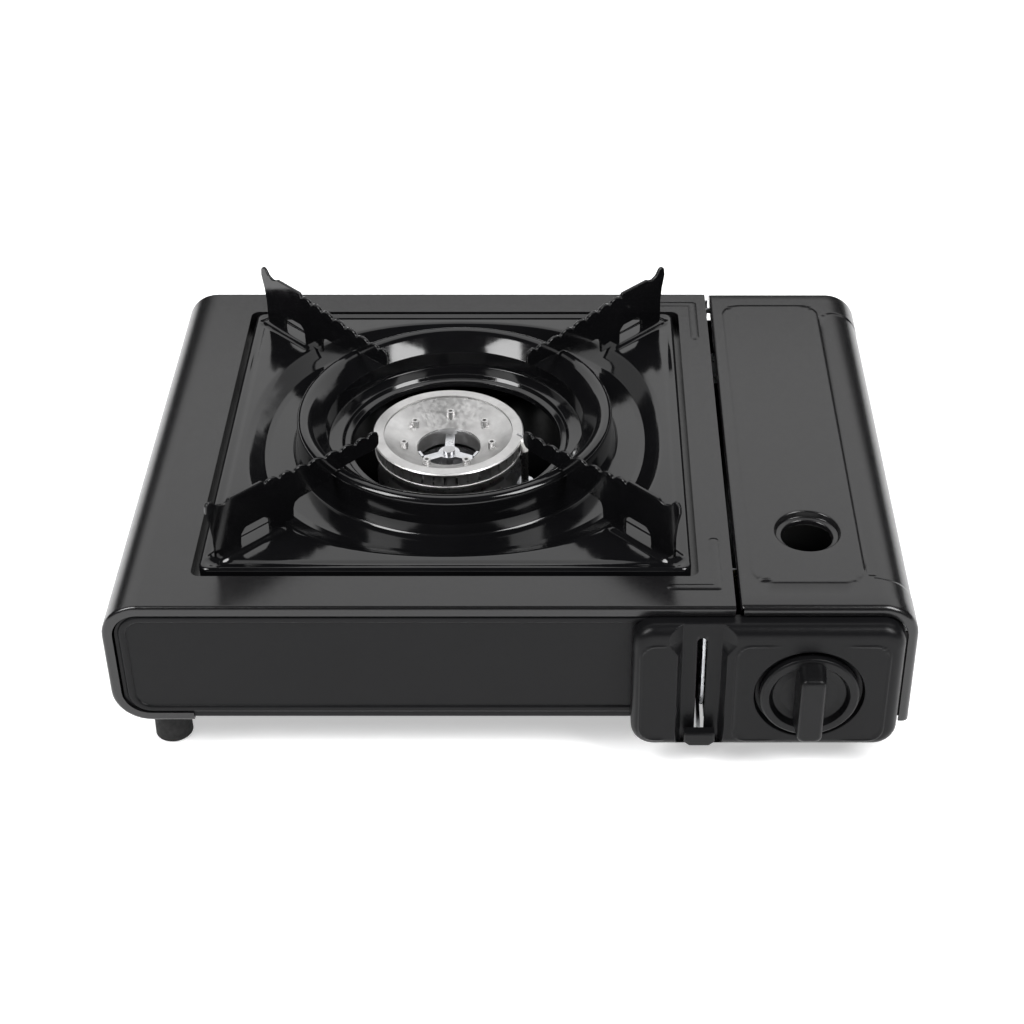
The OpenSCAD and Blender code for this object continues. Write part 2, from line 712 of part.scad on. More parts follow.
module burner_cup() {
  r = burner_r;
  z = body_h;
  place() color("#a4a7aa") difference() {
    translate([bur_x, bur_y, 0]) rotate_extrude() polygon(sheet_of([[r - 2.2, z - 8.8], [r - 2.2, z - 10],
      [r - 3.6, z - 12.5], [r - 3.6, z - 15], [r - 1.2, z - 21], [r - 1.2, z - 24], [r - 4, z - 30],
      [r - 10, cup_z + 3], [r - 13, cup_z], [bore_r, cup_z], [bore_r, z - 19.5]], -1.2));
    rod([bur_x + 18, bur_y, tube_z], [bur_x + r - 1, bur_y, tube_z], tube_r + 0.02);
  }
}

// Height of the dished face of the burner head at radius q, below the top plate.
function dish(q) = body_h - 9.5 + 7.7 * (q - bore_r) / (burner_r - 5.1 - bore_r);

module burner_ring() {
  r = burner_r;
  z = body_h;
  place() color("#a9acae") translate([bur_x, bur_y, 0]) difference() {
    rotate_extrude() polygon([[bore_r, z - 17], [bore_r, dish(bore_r)], [r - 5.1, dish(r - 5.1)],
      [r - 5.1, z], [r - 0.5, z], [r, z - 0.5], [r, z - 1.2], [r - 1, z - 1.8], [r - 1, z - 7.3],
      [r - 0.7, z - 7.5], [r - 0.7, z - 8.6], [r - 2, z - 8.8], [r - 3.6, z - 8.8], [r - 3.6, z - 4.4],
      [bore_r + 2.4, z - 11.6], [bore_r + 2.4, z - 17]]);
    for (i = [0 : 39]) rotate([0, 0, 9 * i]) translate([r - 4.4, -0.65, z - 6.8]) cube([6.4, 1.3, 4.8]);
  }
}

module burner_disc() {
  q0 = bore_r + 0.1;
  q1 = burner_r - 5.2;
  place() color("#9fa2a5") translate([bur_x, bur_y, 0]) {
    rotate_extrude() polygon([[q0, dish(q0)], [q1, dish(q1)], [q1, dish(q1) + 0.8], [q0, dish(q0) + 0.8]]);
    difference() {
      for (i = [0 : 6]) rotate([0, 0, 90 + i * 360 / 7]) translate([20.8, 0, body_h - 8.4]) difference() {
        cylinder(r = 1.8, h = 5.8);
        translate([0, 0, 3.4]) cylinder(r = 0.9, h = 4);
      }
      rotate_extrude() polygon([[q0, dish(q0) - 4], [q1, dish(q1) - 8], [q1, dish(q1) + 0.4],
        [q0, dish(q0) + 0.4]]);
    }
  }
}

module burner_spider() {
  z = body_h - 13;
  place() color("#c4c6c8") translate([bur_x, bur_y, 0]) difference() {
    union() {
      translate([0, 0, z]) cylinder(r = 5, h = 1.2);
      rotate([0, 0, 90]) translate([0, -2.15, z]) cube([bore_r - 0.2, 4.3, 1.2]);
      for (a = [205, 335]) rotate([0, 0, a]) {
        translate([0, -2.15, z]) cube([bore_r - 0.2, 4.3, 1.2]);
        translate([bore_r - 1.4, -2.15, z]) cube([1.2, 4.3, 4.4]);
      }
    }
    translate([0, 0, z - 1]) cylinder(r = 1.6, h = 4);
  }
}

module burner_screws() {
  place() color("#c9cbcd") {
    for (i = [-1, 1]) translate([bur_x + 36 * i, bur_y, 0]) {
      translate([0, 0, floor_z - 3]) cylinder(r = 1.5, h = 5);
      translate([0, 0, floor_z + 1.2]) cylinder(r = 3, h = 1.8);
    }
    translate([bur_x, bur_y, body_h - 19.5]) cylinder(r = 1.5, h = 8);
    translate([bur_x, bur_y, body_h - 11.8]) cylinder(r = 2.8, h = 1.6);
  }
}

// ---- ignition ----

module igniter() {
  place() color("#19191a") {
    plate_y(8, 30) translate([axis_x + 27.5, axis_z]) rsq(12, 20, 2);
    to_front(axis_x + 27.5, 8, axis_z) cylinder(r = 4, h = 5);
    rod([axis_x + 27.5, 38, axis_z + 4], [axis_x + 27.5, 41, axis_z + 4], 2.4);
  }
}

module ignition_lead() {
  ix = axis_x + 27.5;
  ex = elec_x;
  ey = elec_y;
  place() color("#a8231c") {
    rod([ix, lead_y, axis_z - 10], [ix, lead_y, lead_z + 6], 1.4);
    bend([ix - 6, lead_y, lead_z + 6], [90, 0, 0], 270, 6, 1.4);
    rod([ix - 6, lead_y, lead_z], [pipe_x + 6, lead_y, lead_z], 1.4);
    bend([pipe_x + 6, lead_y + 6, lead_z], [0, 0, 0], 180, 6, 1.4);
    rod([pipe_x, lead_y + 6, lead_z], [pipe_x, lead_run - 6, lead_z], 1.4);
    bend([pipe_x - 6, lead_run - 6, lead_z], [0, 0, 0], 0, 6, 1.4);
    rod([pipe_x - 6, lead_run, lead_z], [ex + 6, lead_run, lead_z], 1.4);
    bend([ex + 6, lead_run + 6, lead_z], [0, 0, 0], 180, 6, 1.4);
    rod([ex, lead_run + 6, lead_z], [ex, ey - 15, lead_z], 1.4);
    bend([ex, ey - 15, lead_z + 6], [90, 0, 90], 270, 6, 1.4);
    rod([ex, ey - 9, lead_z + 6], [ex, ey - 9, tube_z + 4], 1.4);
    bend([ex, ey - 3, tube_z + 4], [90, 0, 90], 90, 6, 1.4);
    rod([ex, ey - 3, tube_z + 10], [ex, ey - 1.7, tube_z + 10], 1.4);
  }
}

module electrode_bracket() {
  z = body_h - 23;
  place() color("#c4c6c8") difference() {
    union() {
      translate([elec_x, elec_y, z]) cylinder(r = 4, h = 1.2);
      translate([0, 0, z]) linear_extrude(1.2) bar2([bur_x + 27.5, bur_y - 7], [elec_x, elec_y], 7, 7);
    }
    translate([elec_x, elec_y, z - 10]) cylinder(r = 1.8, h = 20);
    translate([bur_x, bur_y, z - 2]) cylinder(r = burner_r - 1.2, h = 4);
  }
}

module electrode() {
  place() color("#c9cbcd") {
    translate([elec_x, elec_y, body_h - 31.5]) cylinder(r = 0.6, h = 34.3);
    rod([elec_x, elec_y, body_h + 2.4], [elec_x - 3.4, elec_y + 1, body_h + 4], 0.6);
    translate([elec_x, elec_y, body_h + 2.4]) sphere(0.6, $fn = 24);
  }
}

module electrode_ceramic() {
  place() color("#f1efe9") translate([elec_x, elec_y, 0]) difference() {
    union() {
      translate([0, 0, body_h - 31]) cylinder(r = 1.75, h = 32);
      translate([0, 0, body_h - 27]) cylinder(r = 2.6, h = 4);
    }
    cylinder(r = 0.6, h = 100);
  }
}

// ---- tray and pan supports ----

module drip_tray() {
  z = tray_top;
  lip = 1.6;
  place() color("#141415") translate([tray_x, tray_y, 0]) {
    difference() {
      translate([0, 0, z - tray_t]) linear_extrude(tray_t)
        rsq(tray_w - 2 * lip + 0.2, tray_w - 2 * lip + 0.2, 3.1);
      translate([0, 0, z - 2]) cylinder(r = dish_r, h = 4);
      for (i = [0 : 3], r = [102, 132]) rotate([0, 0, 45 + 90 * i]) translate([r, 0, z])
        cube([8.3, arm_t + 0.1, 8], center = true);
    }
    translate([0, 0, z - lip]) frame_sweep(tray_w, tray_w, 4.6) translate([3, 0]) intersection() {
      difference() {
        circle(lip);
        circle(lip - tray_t);
      }
      square(lip);
    }
    translate([0, 0, ledge_z + 0.05])
      rring(tray_w, 4.6, tray_w - 2 * tray_t, 4.6 - tray_t, z - lip - ledge_z + 0.05);
    rotate_extrude() polygon(sheet_of([[dish_r + 1.5, z], [dish_r - 0.5, z], [dish_r - 10.3, z - dish_z + 1],
      [dish_r - 11.9, z - dish_z], [76.5, z - dish_z], [75.6, z - 10.6], [75.2, z - 6], [74.6, z - 5.2],
      [71, z - 4.3], [69.4, z - 5.8], [67.8, z - 6.2], [62, z - 3.1], [59.5, z - 1.1], [57.3, z - 0.4],
      [55, z - 0.6], [50, z - 1.9], [48.8, z - 4.2], [48.3, z - 7.5]], tray_t));
  }
}

// The pan supports measure z from the tray, and their top edge at arm_h is the pan rest.
arm_h = rest_h - tray_up;
function scal_z(r) = arm_h - 2.1 - min(0.09 * (109 - r), 4.2);
valley = [109.6, 101.7, 94, 85.5, 76.5, 68, 59.5, 52.2, 46.6];
steps = 5;
wave = [for (i = [0 : len(valley) - 2]) for (j = [0 : steps - 1])
  let(f = j / steps, r = valley[i] + (valley[i + 1] - valley[i]) * f) [r, scal_z(r) + 1.3 * sin(180 * f)]];

module arm(k) {
  h = arm_h;
  place() color("#141415") translate([tray_x, tray_y, tray_top]) rotate([0, 0, 45 + 90 * k])
    translate([0, arm_t / 2, 0]) rotate([90, 0, 0]) linear_extrude(arm_t) union() {
      polygon(concat([[125, 0], [138.2, 0], [138, h - 16], [138.8, h - 9], [140.5, h - 2],
        [140.2, h + 1.6], [138.6, h + 3.2], [136.6, h + 2.4], [134.8, h - 0.2], [131.5, h - 1.5],
        [129.4, h - 0.8], [128, h], [110.6, h], [109.6, h - 1.4]], wave, [[46.6, h - 6],
        [46, h - 8], [46.2, h - 13], [48, h - 15], [50, 11.8], [59, 10.6], [65, 10.4], [75, 9.6],
        [88, 9.1], [92, 9], [94.6, 8], [95.6, 5.4], [96, 0], [108, 0], [109, 1.8],
        [109, 6.3], [111.5, 8.8], [121.5, 8.8], [124, 6.3], [124.6, 1.4]]));
      for (r = [98.2, 128.2]) translate([r, -2.4]) square([7.6, 3]);
    }
}
module pan_support_rr() arm(0);
module pan_support_rl() arm(1);
module pan_support_fl() arm(2);
module pan_support_fr() arm(3);

// ---- feet and fasteners ----

module feet() {
  place() color("#19191a") for (i = [0, 1], y = foot_y) translate([foot_x[i], y, 0]) {
    h = i == 0 ? skin_z : bay_z;
    difference() {
      rotate_extrude() polygon([[0, 0], [7.4, 0], [8.2, 0.8], [7.7, h], [0, h]]);
      translate([0, 0, -1]) cylinder(r = 3, h = h - 3);
      cylinder(r = 1.5, h = 40);
    }
  }
}

module foot_screws() {
  place() color("#c9cbcd") for (i = [0, 1], y = foot_y) translate([foot_x[i], y, 0]) {
    h = i == 0 ? skin_z : bay_z;
    translate([0, 0, h - 4]) cylinder(r = 1.5, h = 8);
    translate([0, 0, h - 6]) cylinder(r = 2.8, h = 2);
  }
}

module shell_screws() {
  place() color("#c9cbcd") {
    for (y = [40, body_d - 40]) translate([curl_x - 5, y, 0]) {
      translate([0, 0, skin_z - 1.6]) cylinder(r = 3, h = 1.6);
      translate([0, 0, skin_z - 0.2]) cylinder(r = 1.5, h = 5);
    }
  }
}

top_shell();
base_pan();
bay_pan();
partition();
bay_bulkhead();
cartridge_lid();
lid_hinge_leaf();
hinge_rod();
control_panel();
knob();
valve_stem();
lock_lever();
lever_cap();
lever_bracket();
lever_pivot();
crank_pin();
pusher_bar();
pusher_rivets();
regulator_body();
diaphragm_cover();
cover_screws();
diaphragm_spring();
socket_seal();
gas_pipe();
jet();
mixing_tube();
burner_bracket();
burner_cup();
burner_ring();
burner_disc();
burner_spider();
burner_screws();
igniter();
ignition_lead();
electrode_bracket();
electrode();
electrode_ceramic();
drip_tray();
pan_support_fl();
pan_support_fr();
pan_support_rl();
pan_support_rr();
feet();
foot_screws();
shell_screws();
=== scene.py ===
"""Detailed stove: fine surfaces for the lid, panel, front line, knob, lever cap, tray and pan supports,
finishes for the frame's other pieces, and the floor, lights and camera."""
import math

import bpy
import numpy as np
from bpy.props import FloatProperty, FloatVectorProperty, PointerProperty
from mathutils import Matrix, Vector


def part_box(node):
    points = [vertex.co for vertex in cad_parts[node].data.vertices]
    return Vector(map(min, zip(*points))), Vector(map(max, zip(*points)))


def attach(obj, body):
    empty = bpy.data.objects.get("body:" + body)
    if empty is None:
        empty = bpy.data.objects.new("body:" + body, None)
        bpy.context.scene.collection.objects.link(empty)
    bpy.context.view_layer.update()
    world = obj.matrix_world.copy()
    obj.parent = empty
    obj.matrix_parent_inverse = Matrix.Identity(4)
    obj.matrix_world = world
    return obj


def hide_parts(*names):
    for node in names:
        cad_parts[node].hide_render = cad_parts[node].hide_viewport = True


bl_info = {
    "name": "Cassette Stove",
    "version": (1, 0, 0),
    "blender": (4, 5, 0),
    "location": "View3D > Sidebar > Stove",
    "description": "Makes the visible pieces, finishes and studio of a tabletop cassette stove",
    "category": "Add Mesh",
}

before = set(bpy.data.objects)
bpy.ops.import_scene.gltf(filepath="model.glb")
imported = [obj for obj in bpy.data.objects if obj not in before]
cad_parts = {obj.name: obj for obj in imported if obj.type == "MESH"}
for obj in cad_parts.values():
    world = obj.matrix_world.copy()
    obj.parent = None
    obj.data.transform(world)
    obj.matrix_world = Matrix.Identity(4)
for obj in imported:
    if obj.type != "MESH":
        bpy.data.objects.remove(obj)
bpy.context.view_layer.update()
MM = 0.001


def edges_mm(name):
    """Lowest and highest corner of a node of the frame, in millimetres."""
    low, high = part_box(name)
    return [c / MM for c in low], [c / MM for c in high]


SHELL_LOW = edges_mm("top_shell")[0]
LID_LOW, LID_HIGH = edges_mm("cartridge_lid")
TRAY_LOW, TRAY_HIGH = edges_mm("drip_tray")
RING_LOW, RING_HIGH = edges_mm("burner_ring")
KNOB_LOW, KNOB_HIGH = edges_mm("knob")
PANEL_LOW, PANEL_HIGH = edges_mm("control_panel")
FRONT = LID_LOW[1]
DEPTH = LID_HIGH[1] - FRONT
HALF = LID_HIGH[0]
TOP = LID_HIGH[2]
TRAY_X = (TRAY_LOW[0] + TRAY_HIGH[0]) / 2
TRAY_Y = (TRAY_LOW[1] + TRAY_HIGH[1]) / 2 - FRONT
TRAY_W = TRAY_HIGH[0] - TRAY_LOW[0]
TRAY_TOP = TRAY_HIGH[2]
BURNER_X = (RING_LOW[0] + RING_HIGH[0]) / 2
BURNER_Y = (RING_LOW[1] + RING_HIGH[1]) / 2 - FRONT
KNOB_X = (KNOB_LOW[0] + KNOB_HIGH[0]) / 2
KNOB_Z = (KNOB_LOW[2] + KNOB_HIGH[2]) / 2

# Places and sizes of details, in millimetres
SHOULDER = 16.0  # radius of the lid's shoulder
LIP = 1.2  # width of the lid's turned-down lip along the slit
LIP_DROP = 4.0  # depth of the same lip
HOLE_X = 128.0  # middle of the lid's finger hole
HOLE_Y = 52.5  # the same, from the shell's front edge
HOLE_HALF = 17.0  # half side of the square patch that the hole's rings fill
CHANNEL_X = 80.3  # middle of the lever's channel
DISH_HALF = 24.9  # half side of the square patch that the rings of the knob's dish fill
PANEL_CORNER = 10.0  # corner radius of the control panel


# ---- sizes and colours that a user would change ----


class StoveSizes(bpy.types.PropertyGroup):
    """Sizes of the pressed details, in metres."""

    rim: FloatProperty(
        name="Rim", description="Depth of the lid's turned-in rims", default=0.0045, unit="LENGTH"
    )
    edge: FloatProperty(
        name="Edge", description="Radius of the lid's front and rear edges", default=0.0026, unit="LENGTH"
    )
    recess: FloatProperty(
        name="Shoulder", description="Depth of the lid's shoulder recess", default=0.0007, unit="LENGTH"
    )
    field: FloatProperty(
        name="Field", description="Height of the raised line on the front", default=0.0009, unit="LENGTH"
    )


class StoveColours(bpy.types.PropertyGroup):
    """Colours of the finishes."""

    coat: FloatVectorProperty(
        name="Powder coat",
        description="Shell and lid",
        subtype="COLOR",
        size=3,
        default=(0.006, 0.0058, 0.0063),
    )
    panel: FloatVectorProperty(
        name="Panel black",
        description="Front wall and control panel",
        subtype="COLOR",
        size=3,
        default=(0.006, 0.006, 0.0066),
    )
    enamel: FloatVectorProperty(
        name="Enamel",
        description="Drip tray and pan supports",
        subtype="COLOR",
        size=3,
        default=(0.004, 0.004, 0.0045),
    )
    plastic: FloatVectorProperty(
        name="Plastic",
        description="Knob, lever cap and igniter",
        subtype="COLOR",
        size=3,
        default=(0.005, 0.005, 0.0055),
    )
    casting: FloatVectorProperty(
        name="Casting",
        description="Burner head",
        subtype="COLOR",
        size=3,
        default=(0.64, 0.635, 0.63),
    )


# ---- surfaces ----


class Skin:
    """Collects grids of points in millimetres, measured from the front edge of the shell, and makes one
    mesh of them."""

    def __init__(self):
        self.points, self.normals, self.faces, self.total = [], [], [], 0

    def grid(self, p, closed=False, flip=False, keep=None, normal=None):
        """Adds a grid p[i, j] of points. closed joins the last j to the first, keep is a mask of cells.
        The normal at a point is the cross product of the mean unit edges along i and along j."""
        p = np.asarray(p, float)
        nu, nv = p.shape[:2]
        if normal is None:
            a = unit(np.diff(p, axis=0))
            du = np.concatenate([a[:1], a[:-1] + a[1:], a[-1:]])
            b = unit((np.roll(p, -1, axis=1) - p) if closed else np.diff(p, axis=1))
            if closed:
                dv = b + np.roll(b, 1, axis=1)
            else:
                dv = np.concatenate([b[:, :1], b[:, :-1] + b[:, 1:], b[:, -1:]], axis=1)
            n = unit(np.cross(du, dv))
            if flip:
                n = -n
        else:
            n = np.broadcast_to(np.asarray(normal, float), p.shape)
        i, j = np.meshgrid(np.arange(nu - 1), np.arange(nv if closed else nv - 1), indexing="ij")
        k = (j + 1) % nv
        quads = np.stack([i * nv + j, (i + 1) * nv + j, (i + 1) * nv + k, i * nv + k], axis=-1)
        if keep is not None:
            quads = quads[keep]
        quads = quads.reshape(-1, 4)
        if flip:
            quads = quads[:, ::-1]
        self.points.append(p.reshape(-1, 3))
        self.normals.append(n.reshape(-1, 3))
        self.faces.extend((quads + self.total).tolist())
        self.total += nu * nv
        return self

    def disc(self, loop, flip=False):
        """Closes a flat loop of points with one face."""
        loop = np.asarray(loop, float)
        m = loop.mean(axis=0)
        n = unit(np.cross(loop[0] - m, loop[len(loop) // 4] - m)[None])[0]
        ring = list(range(self.total, self.total + len(loop)))
        self.points.append(loop)
        self.normals.append(np.broadcast_to(-n if flip else n, loop.shape))
        self.faces.append(ring[::-1] if flip else ring)
        self.total += len(loop)
        return self

    def make(self, name, body, material, slot, *nodes):
        """Makes the object, lets it ride on the body and stand for the nodes."""
        co = np.concatenate(self.points)
        co[:, 1] += FRONT
        nor = np.concatenate(self.normals)
        mesh = bpy.data.meshes.new(name)
        mesh.from_pydata((co * MM).tolist(), [], self.faces)
        mesh.validate()
        mesh.polygons.foreach_set("use_smooth", [True] * len(mesh.polygons))
        mesh.normals_split_custom_set_from_vertices(nor.tolist())
        mesh.materials.append(material)
        piece = bpy.data.objects.new(name, mesh)
        bpy.context.scene.collection.objects.link(piece)
        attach(piece, body)
        if nodes:
            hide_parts(*nodes)
        return piece


def unit(a):
    """Vectors of length one, and zero where there is no length."""
    return a / np.maximum(np.linalg.norm(a, axis=-1, keepdims=True), 1e-12)


def bent(points, radii, steps):
    """A line through the points with each inner corner rounded by its radius."""
    points = [np.asarray(p, float) for p in points]
    radii = np.broadcast_to(np.asarray(radii, float), (len(points),))
    line = [points[0]]
    for before, at, after, r in zip(points, points[1:], points[2:], radii[1:]):
        a = (before - at) / np.linalg.norm(before - at)
        b = (after - at) / np.linalg.norm(after - at)
        half = math.acos(np.clip(a @ b, -1, 1)) / 2
        if r <= 0 or abs(half - math.pi / 2) < 1e-4:
            line.append(at)
            continue
        reach = r / math.tan(half)
        middle = at + (a + b) / np.linalg.norm(a + b) * r / math.sin(half)
        first, last = at + a * reach - middle, at + b * reach - middle
        turn = math.pi - 2 * half
        for t in np.linspace(0, 1, steps + 1):
            spoke = first * math.sin((1 - t) * turn) + last * math.sin(t * turn)
            line.append(middle + spoke / math.sin(turn))
    line.append(points[-1])
    return np.array(line)


def filled(values, step):
    """The values with more between them, so that no gap is wider than the step."""
    values = sorted(set(round(float(v), 4) for v in values))
    out = []
    for a, b in zip(values, values[1:]):
        out.extend(np.linspace(a, b, max(1, math.ceil((b - a) / step)) + 1)[:-1])
    return np.array(out + [values[-1]])


def left_of(line):
    """Unit vectors square to a plane line, on its left."""
    d = unit(np.diff(line, axis=0))
    d = unit(np.concatenate([d[:1], d[:-1] + d[1:], d[-1:]]))
    return np.stack([-d[:, 1], d[:, 0]], axis=1)


def loop_of(w, h, r, corner, side):
    """Rounded rectangle as a loop of 4 * (corner + side) points, anticlockwise from the right side."""
    r = max(min(r, w / 2, h / 2), 1e-4)
    middles = [(w / 2 - r, h / 2 - r), (r - w / 2, h / 2 - r), (r - w / 2, r - h / 2), (w / 2 - r, r - h / 2)]
    nexts = [(r - w / 2, h / 2), (-w / 2, r - h / 2), (w / 2 - r, -h / 2), (w / 2, h / 2 - r)]
    out = []
    for k, (cx, cy) in enumerate(middles):
        a = np.linspace(0, math.pi / 2, corner + 1) + k * math.pi / 2
        arc = np.stack([cx + r * np.cos(a), cy + r * np.sin(a)], axis=1)
        out.append(arc)
        out.append(np.linspace(arc[-1], nexts[k], side + 1)[1:-1])
    return np.concatenate(out)


def box_gap(x, y, x0, x1, y0, y1, r):
    """Signed distance to a rounded rectangle, negative inside."""
    qx = np.abs(x - (x0 + x1) / 2) - (x1 - x0) / 2 + r
    qy = np.abs(y - (y0 + y1) / 2) - (y1 - y0) / 2 + r
    return np.hypot(np.maximum(qx, 0), np.maximum(qy, 0)) + np.minimum(np.maximum(qx, qy), 0) - r


def ramp(v, a, b):
    """Smooth step from 0 at a to 1 at b."""
    t = np.clip((v - a) / (b - a), 0, 1)
    return t * t * (3 - 2 * t)


def ridge(v, width):
    """A rounded ridge of height one about v = 0, as wide as width."""
    return np.cos(np.clip(v / width, -0.5, 0.5) * math.pi) ** 2


def level_ring(x, y, r, turns, z):
    """Points at height z and distance r from x, y, one for each turn."""
    return np.stack([x + r * np.cos(turns), y + r * np.sin(turns), z + 0 * turns], 1)


def upright_ring(x, z, r, turns, y):
    """Points at depth y and distance r from x, z, one for each turn."""
    return np.stack([x + r * np.cos(turns), y + 0 * turns, z + r * np.sin(turns)], 1)


def sizes():
    """The sizes in millimetres."""
    s = bpy.context.scene.stove_sizes
    return {k: getattr(s, k) / MM for k in ("rim", "edge", "recess", "field")}


# ---- finishes ----


class Finish:
    """A material made of nodes, patterned in object coordinates."""

    def __init__(self, name, **sockets):
        self.material = bpy.data.materials.new(name)
        self.material.use_nodes = True
        self.nodes = self.material.node_tree.nodes
        self.links = self.material.node_tree.links
        self.shader = self.nodes["Principled BSDF"]
        self.where = self.nodes.new("ShaderNodeTexCoord").outputs["Object"]
        for key, value in sockets.items():
            self.shader.inputs[key.replace("_", " ")].default_value = value

    def node(self, kind, **values):
        made = self.nodes.new(kind)
        for key, value in values.items():
            setattr(made, key, value)
        return made

    def noise(self, scale, detail=3.0, rough=0.5, stretch=(1, 1, 1)):
        """Cloudy pattern of the given number of lumps in a metre."""
        moved = self.node("ShaderNodeMapping")
        moved.inputs["Scale"].default_value = stretch
        self.links.new(self.where, moved.inputs["Vector"])
        made = self.node("ShaderNodeTexNoise")
        made.inputs["Scale"].default_value = scale
        made.inputs["Detail"].default_value = detail
        made.inputs["Roughness"].default_value = rough
        self.links.new(moved.outputs["Vector"], made.inputs["Vector"])
        return made.outputs["Fac"]

    def spread(self, value, low, high, start=0.3, stop=0.7):
        """The pattern brought from start..stop to low..high."""
        made = self.node("ShaderNodeMapRange")
        for key, v in zip(("From Min", "From Max", "To Min", "To Max"), (start, stop, low, high)):
            made.inputs[key].default_value = v
        self.links.new(value, made.inputs["Value"])
        return made.outputs["Result"]

    def tint(self, value, dark, light):
        """Base colour between dark and light by the pattern."""
        made = self.node("ShaderNodeValToRGB")
        made.color_ramp.elements[0].position = 0.3
        made.color_ramp.elements[1].position = 0.7
        made.color_ramp.elements[0].color = (*dark, 1)
        made.color_ramp.elements[1].color = (*light, 1)
        self.links.new(value, made.inputs["Fac"])
        self.links.new(made.outputs["Color"], self.shader.inputs["Base Color"])
        return self

    def gloss(self, value, low, high):
        """Roughness between low and high by the pattern."""
        self.links.new(self.spread(value, low, high), self.shader.inputs["Roughness"])
        return self

    def relief(self, value, distance, strength=1.0, before=None):
        """Bump of the given height in metres."""
        made = self.node("ShaderNodeBump")
        made.inputs["Strength"].default_value = strength
        made.inputs["Distance"].default_value = distance
        self.links.new(value, made.inputs["Height"])
        if before:
            self.links.new(before, made.inputs["Normal"])
        self.links.new(made.outputs["Normal"], self.shader.inputs["Normal"])
        return made.outputs["Normal"]


def near(colour, factor):
    """The colour made lighter or darker."""
    return tuple(c * factor for c in colour)


def colours():
    """The colours that a user may change."""
    return bpy.context.scene.stove_colours


def powder_coat(name="powder_coat", colour=None, specular=0.55, rough=(0.21, 0.26)):
    """Satin powder coat: fine even grain with a faint cloudiness."""
    colour = tuple(colour or colours().coat)
    f = Finish(name, Specular_IOR_Level=specular)
    f.tint(f.noise(38, 4), near(colour, 0.94), near(colour, 1.06))
    f.gloss(f.noise(620, 2), *rough)
    coarse = f.relief(f.noise(420, 3, 0.6), 0.000012, 0.5)
    f.relief(f.noise(2300, 2), 0.000006, 0.6, coarse)
    return f.material


def panel_coat():
    """Satin black on the pressed front parts."""
    return powder_coat("panel_coat", colours().panel, 0.15, (0.28, 0.36))


def gloss_enamel():
    """Black vitreous enamel: wet gloss with a slow wave in the surface."""
    colour = tuple(colours().enamel)
    f = Finish("gloss_enamel", Specular_IOR_Level=0.5)
    f.tint(f.noise(30, 3), near(colour, 0.8), near(colour, 1.2))
    f.gloss(f.noise(160, 3), 0.07, 0.13)
    slow = f.relief(f.noise(70, 2), 0.00012, 0.35)
    f.relief(f.noise(520, 2), 0.00001, 0.4, slow)
    return f.material


def moulded_black():
    """Moulded heat-proof plastic with a fine spark-eroded grain."""
    colour = tuple(colours().plastic)
    f = Finish("moulded_black", Specular_IOR_Level=0.2)
    f.tint(f.noise(60, 3), near(colour, 0.9), near(colour, 1.1))
    f.gloss(f.noise(900, 2), 0.30, 0.42)
    f.relief(f.noise(1900, 2), 0.000015, 0.5)
    return f.material


def machined_casting():
    """Aluminium casting, turned on top: fine rings about the burner's own axis under a matt grain."""
    colour = tuple(colours().casting)
    f = Finish("machined_casting", Metallic=1.0)
    moved = f.node("ShaderNodeMapping")
    moved.inputs["Location"].default_value = (-BURNER_X * MM, -(BURNER_Y + FRONT) * MM, 0)
    moved.inputs["Scale"].default_value = (1, 1, 0)
    f.links.new(f.where, moved.inputs["Vector"])
    far = f.node("ShaderNodeVectorMath", operation="LENGTH")
    f.links.new(moved.outputs["Vector"], far.inputs[0])
    rings = f.node("ShaderNodeMath", operation="MULTIPLY")
    rings.inputs[1].default_value = 9000
    f.links.new(far.outputs["Value"], rings.inputs[0])
    wave = f.node("ShaderNodeMath", operation="SINE")
    f.links.new(rings.outputs[0], wave.inputs[0])
    f.tint(f.noise(120, 4, 0.6), near(colour, 0.86), near(colour, 1.08))
    f.gloss(f.noise(500, 3), 0.36, 0.50)
    first = f.relief(wave.outputs[0], 0.000004, 0.7)
    f.relief(f.noise(1500, 3), 0.00002, 0.5, first)
    return f.material


def bright_zinc():
    """Zinc plate with a faint crystal pattern."""
    colour = (0.62, 0.63, 0.65)
    f = Finish("bright_zinc", Metallic=1.0)
    cells = f.node("ShaderNodeTexVoronoi")
    cells.inputs["Scale"].default_value = 210
    f.links.new(f.where, cells.inputs["Vector"])
    f.tint(cells.outputs["Distance"], near(colour, 0.9), near(colour, 1.05))
    f.gloss(f.noise(260, 3), 0.24, 0.36)
    f.relief(f.noise(700, 3), 0.00001, 0.4)
    return f.material


def drawn_steel():
    """Plain steel, drawn or turned."""
    f = Finish("drawn_steel", Metallic=1.0)
    f.tint(f.noise(180, 3), (0.42, 0.42, 0.43), (0.52, 0.52, 0.53))
    f.gloss(f.noise(400, 3), 0.26, 0.38)
    f.relief(f.noise(900, 2, stretch=(1, 1, 6)), 0.000008, 0.4)
    return f.material


def turned_brass():
    """Brass, turned or drawn."""
    f = Finish("turned_brass", Metallic=1.0)
    f.tint(f.noise(150, 3), (0.60, 0.42, 0.17), (0.72, 0.53, 0.24))
    f.gloss(f.noise(400, 3), 0.22, 0.34)
    f.relief(f.noise(1300, 2), 0.000006, 0.4)
    return f.material


def foot_rubber():
    """Soft black rubber, dull and slightly dusty."""
    colour = (0.011, 0.011, 0.011)
    f = Finish("foot_rubber", Specular_IOR_Level=0.3)
    f.tint(f.noise(220, 4), near(colour, 0.8), near(colour, 1.5))
    f.gloss(f.noise(500, 3), 0.66, 0.84)
    f.relief(f.noise(1400, 3), 0.00003, 0.6)
    return f.material


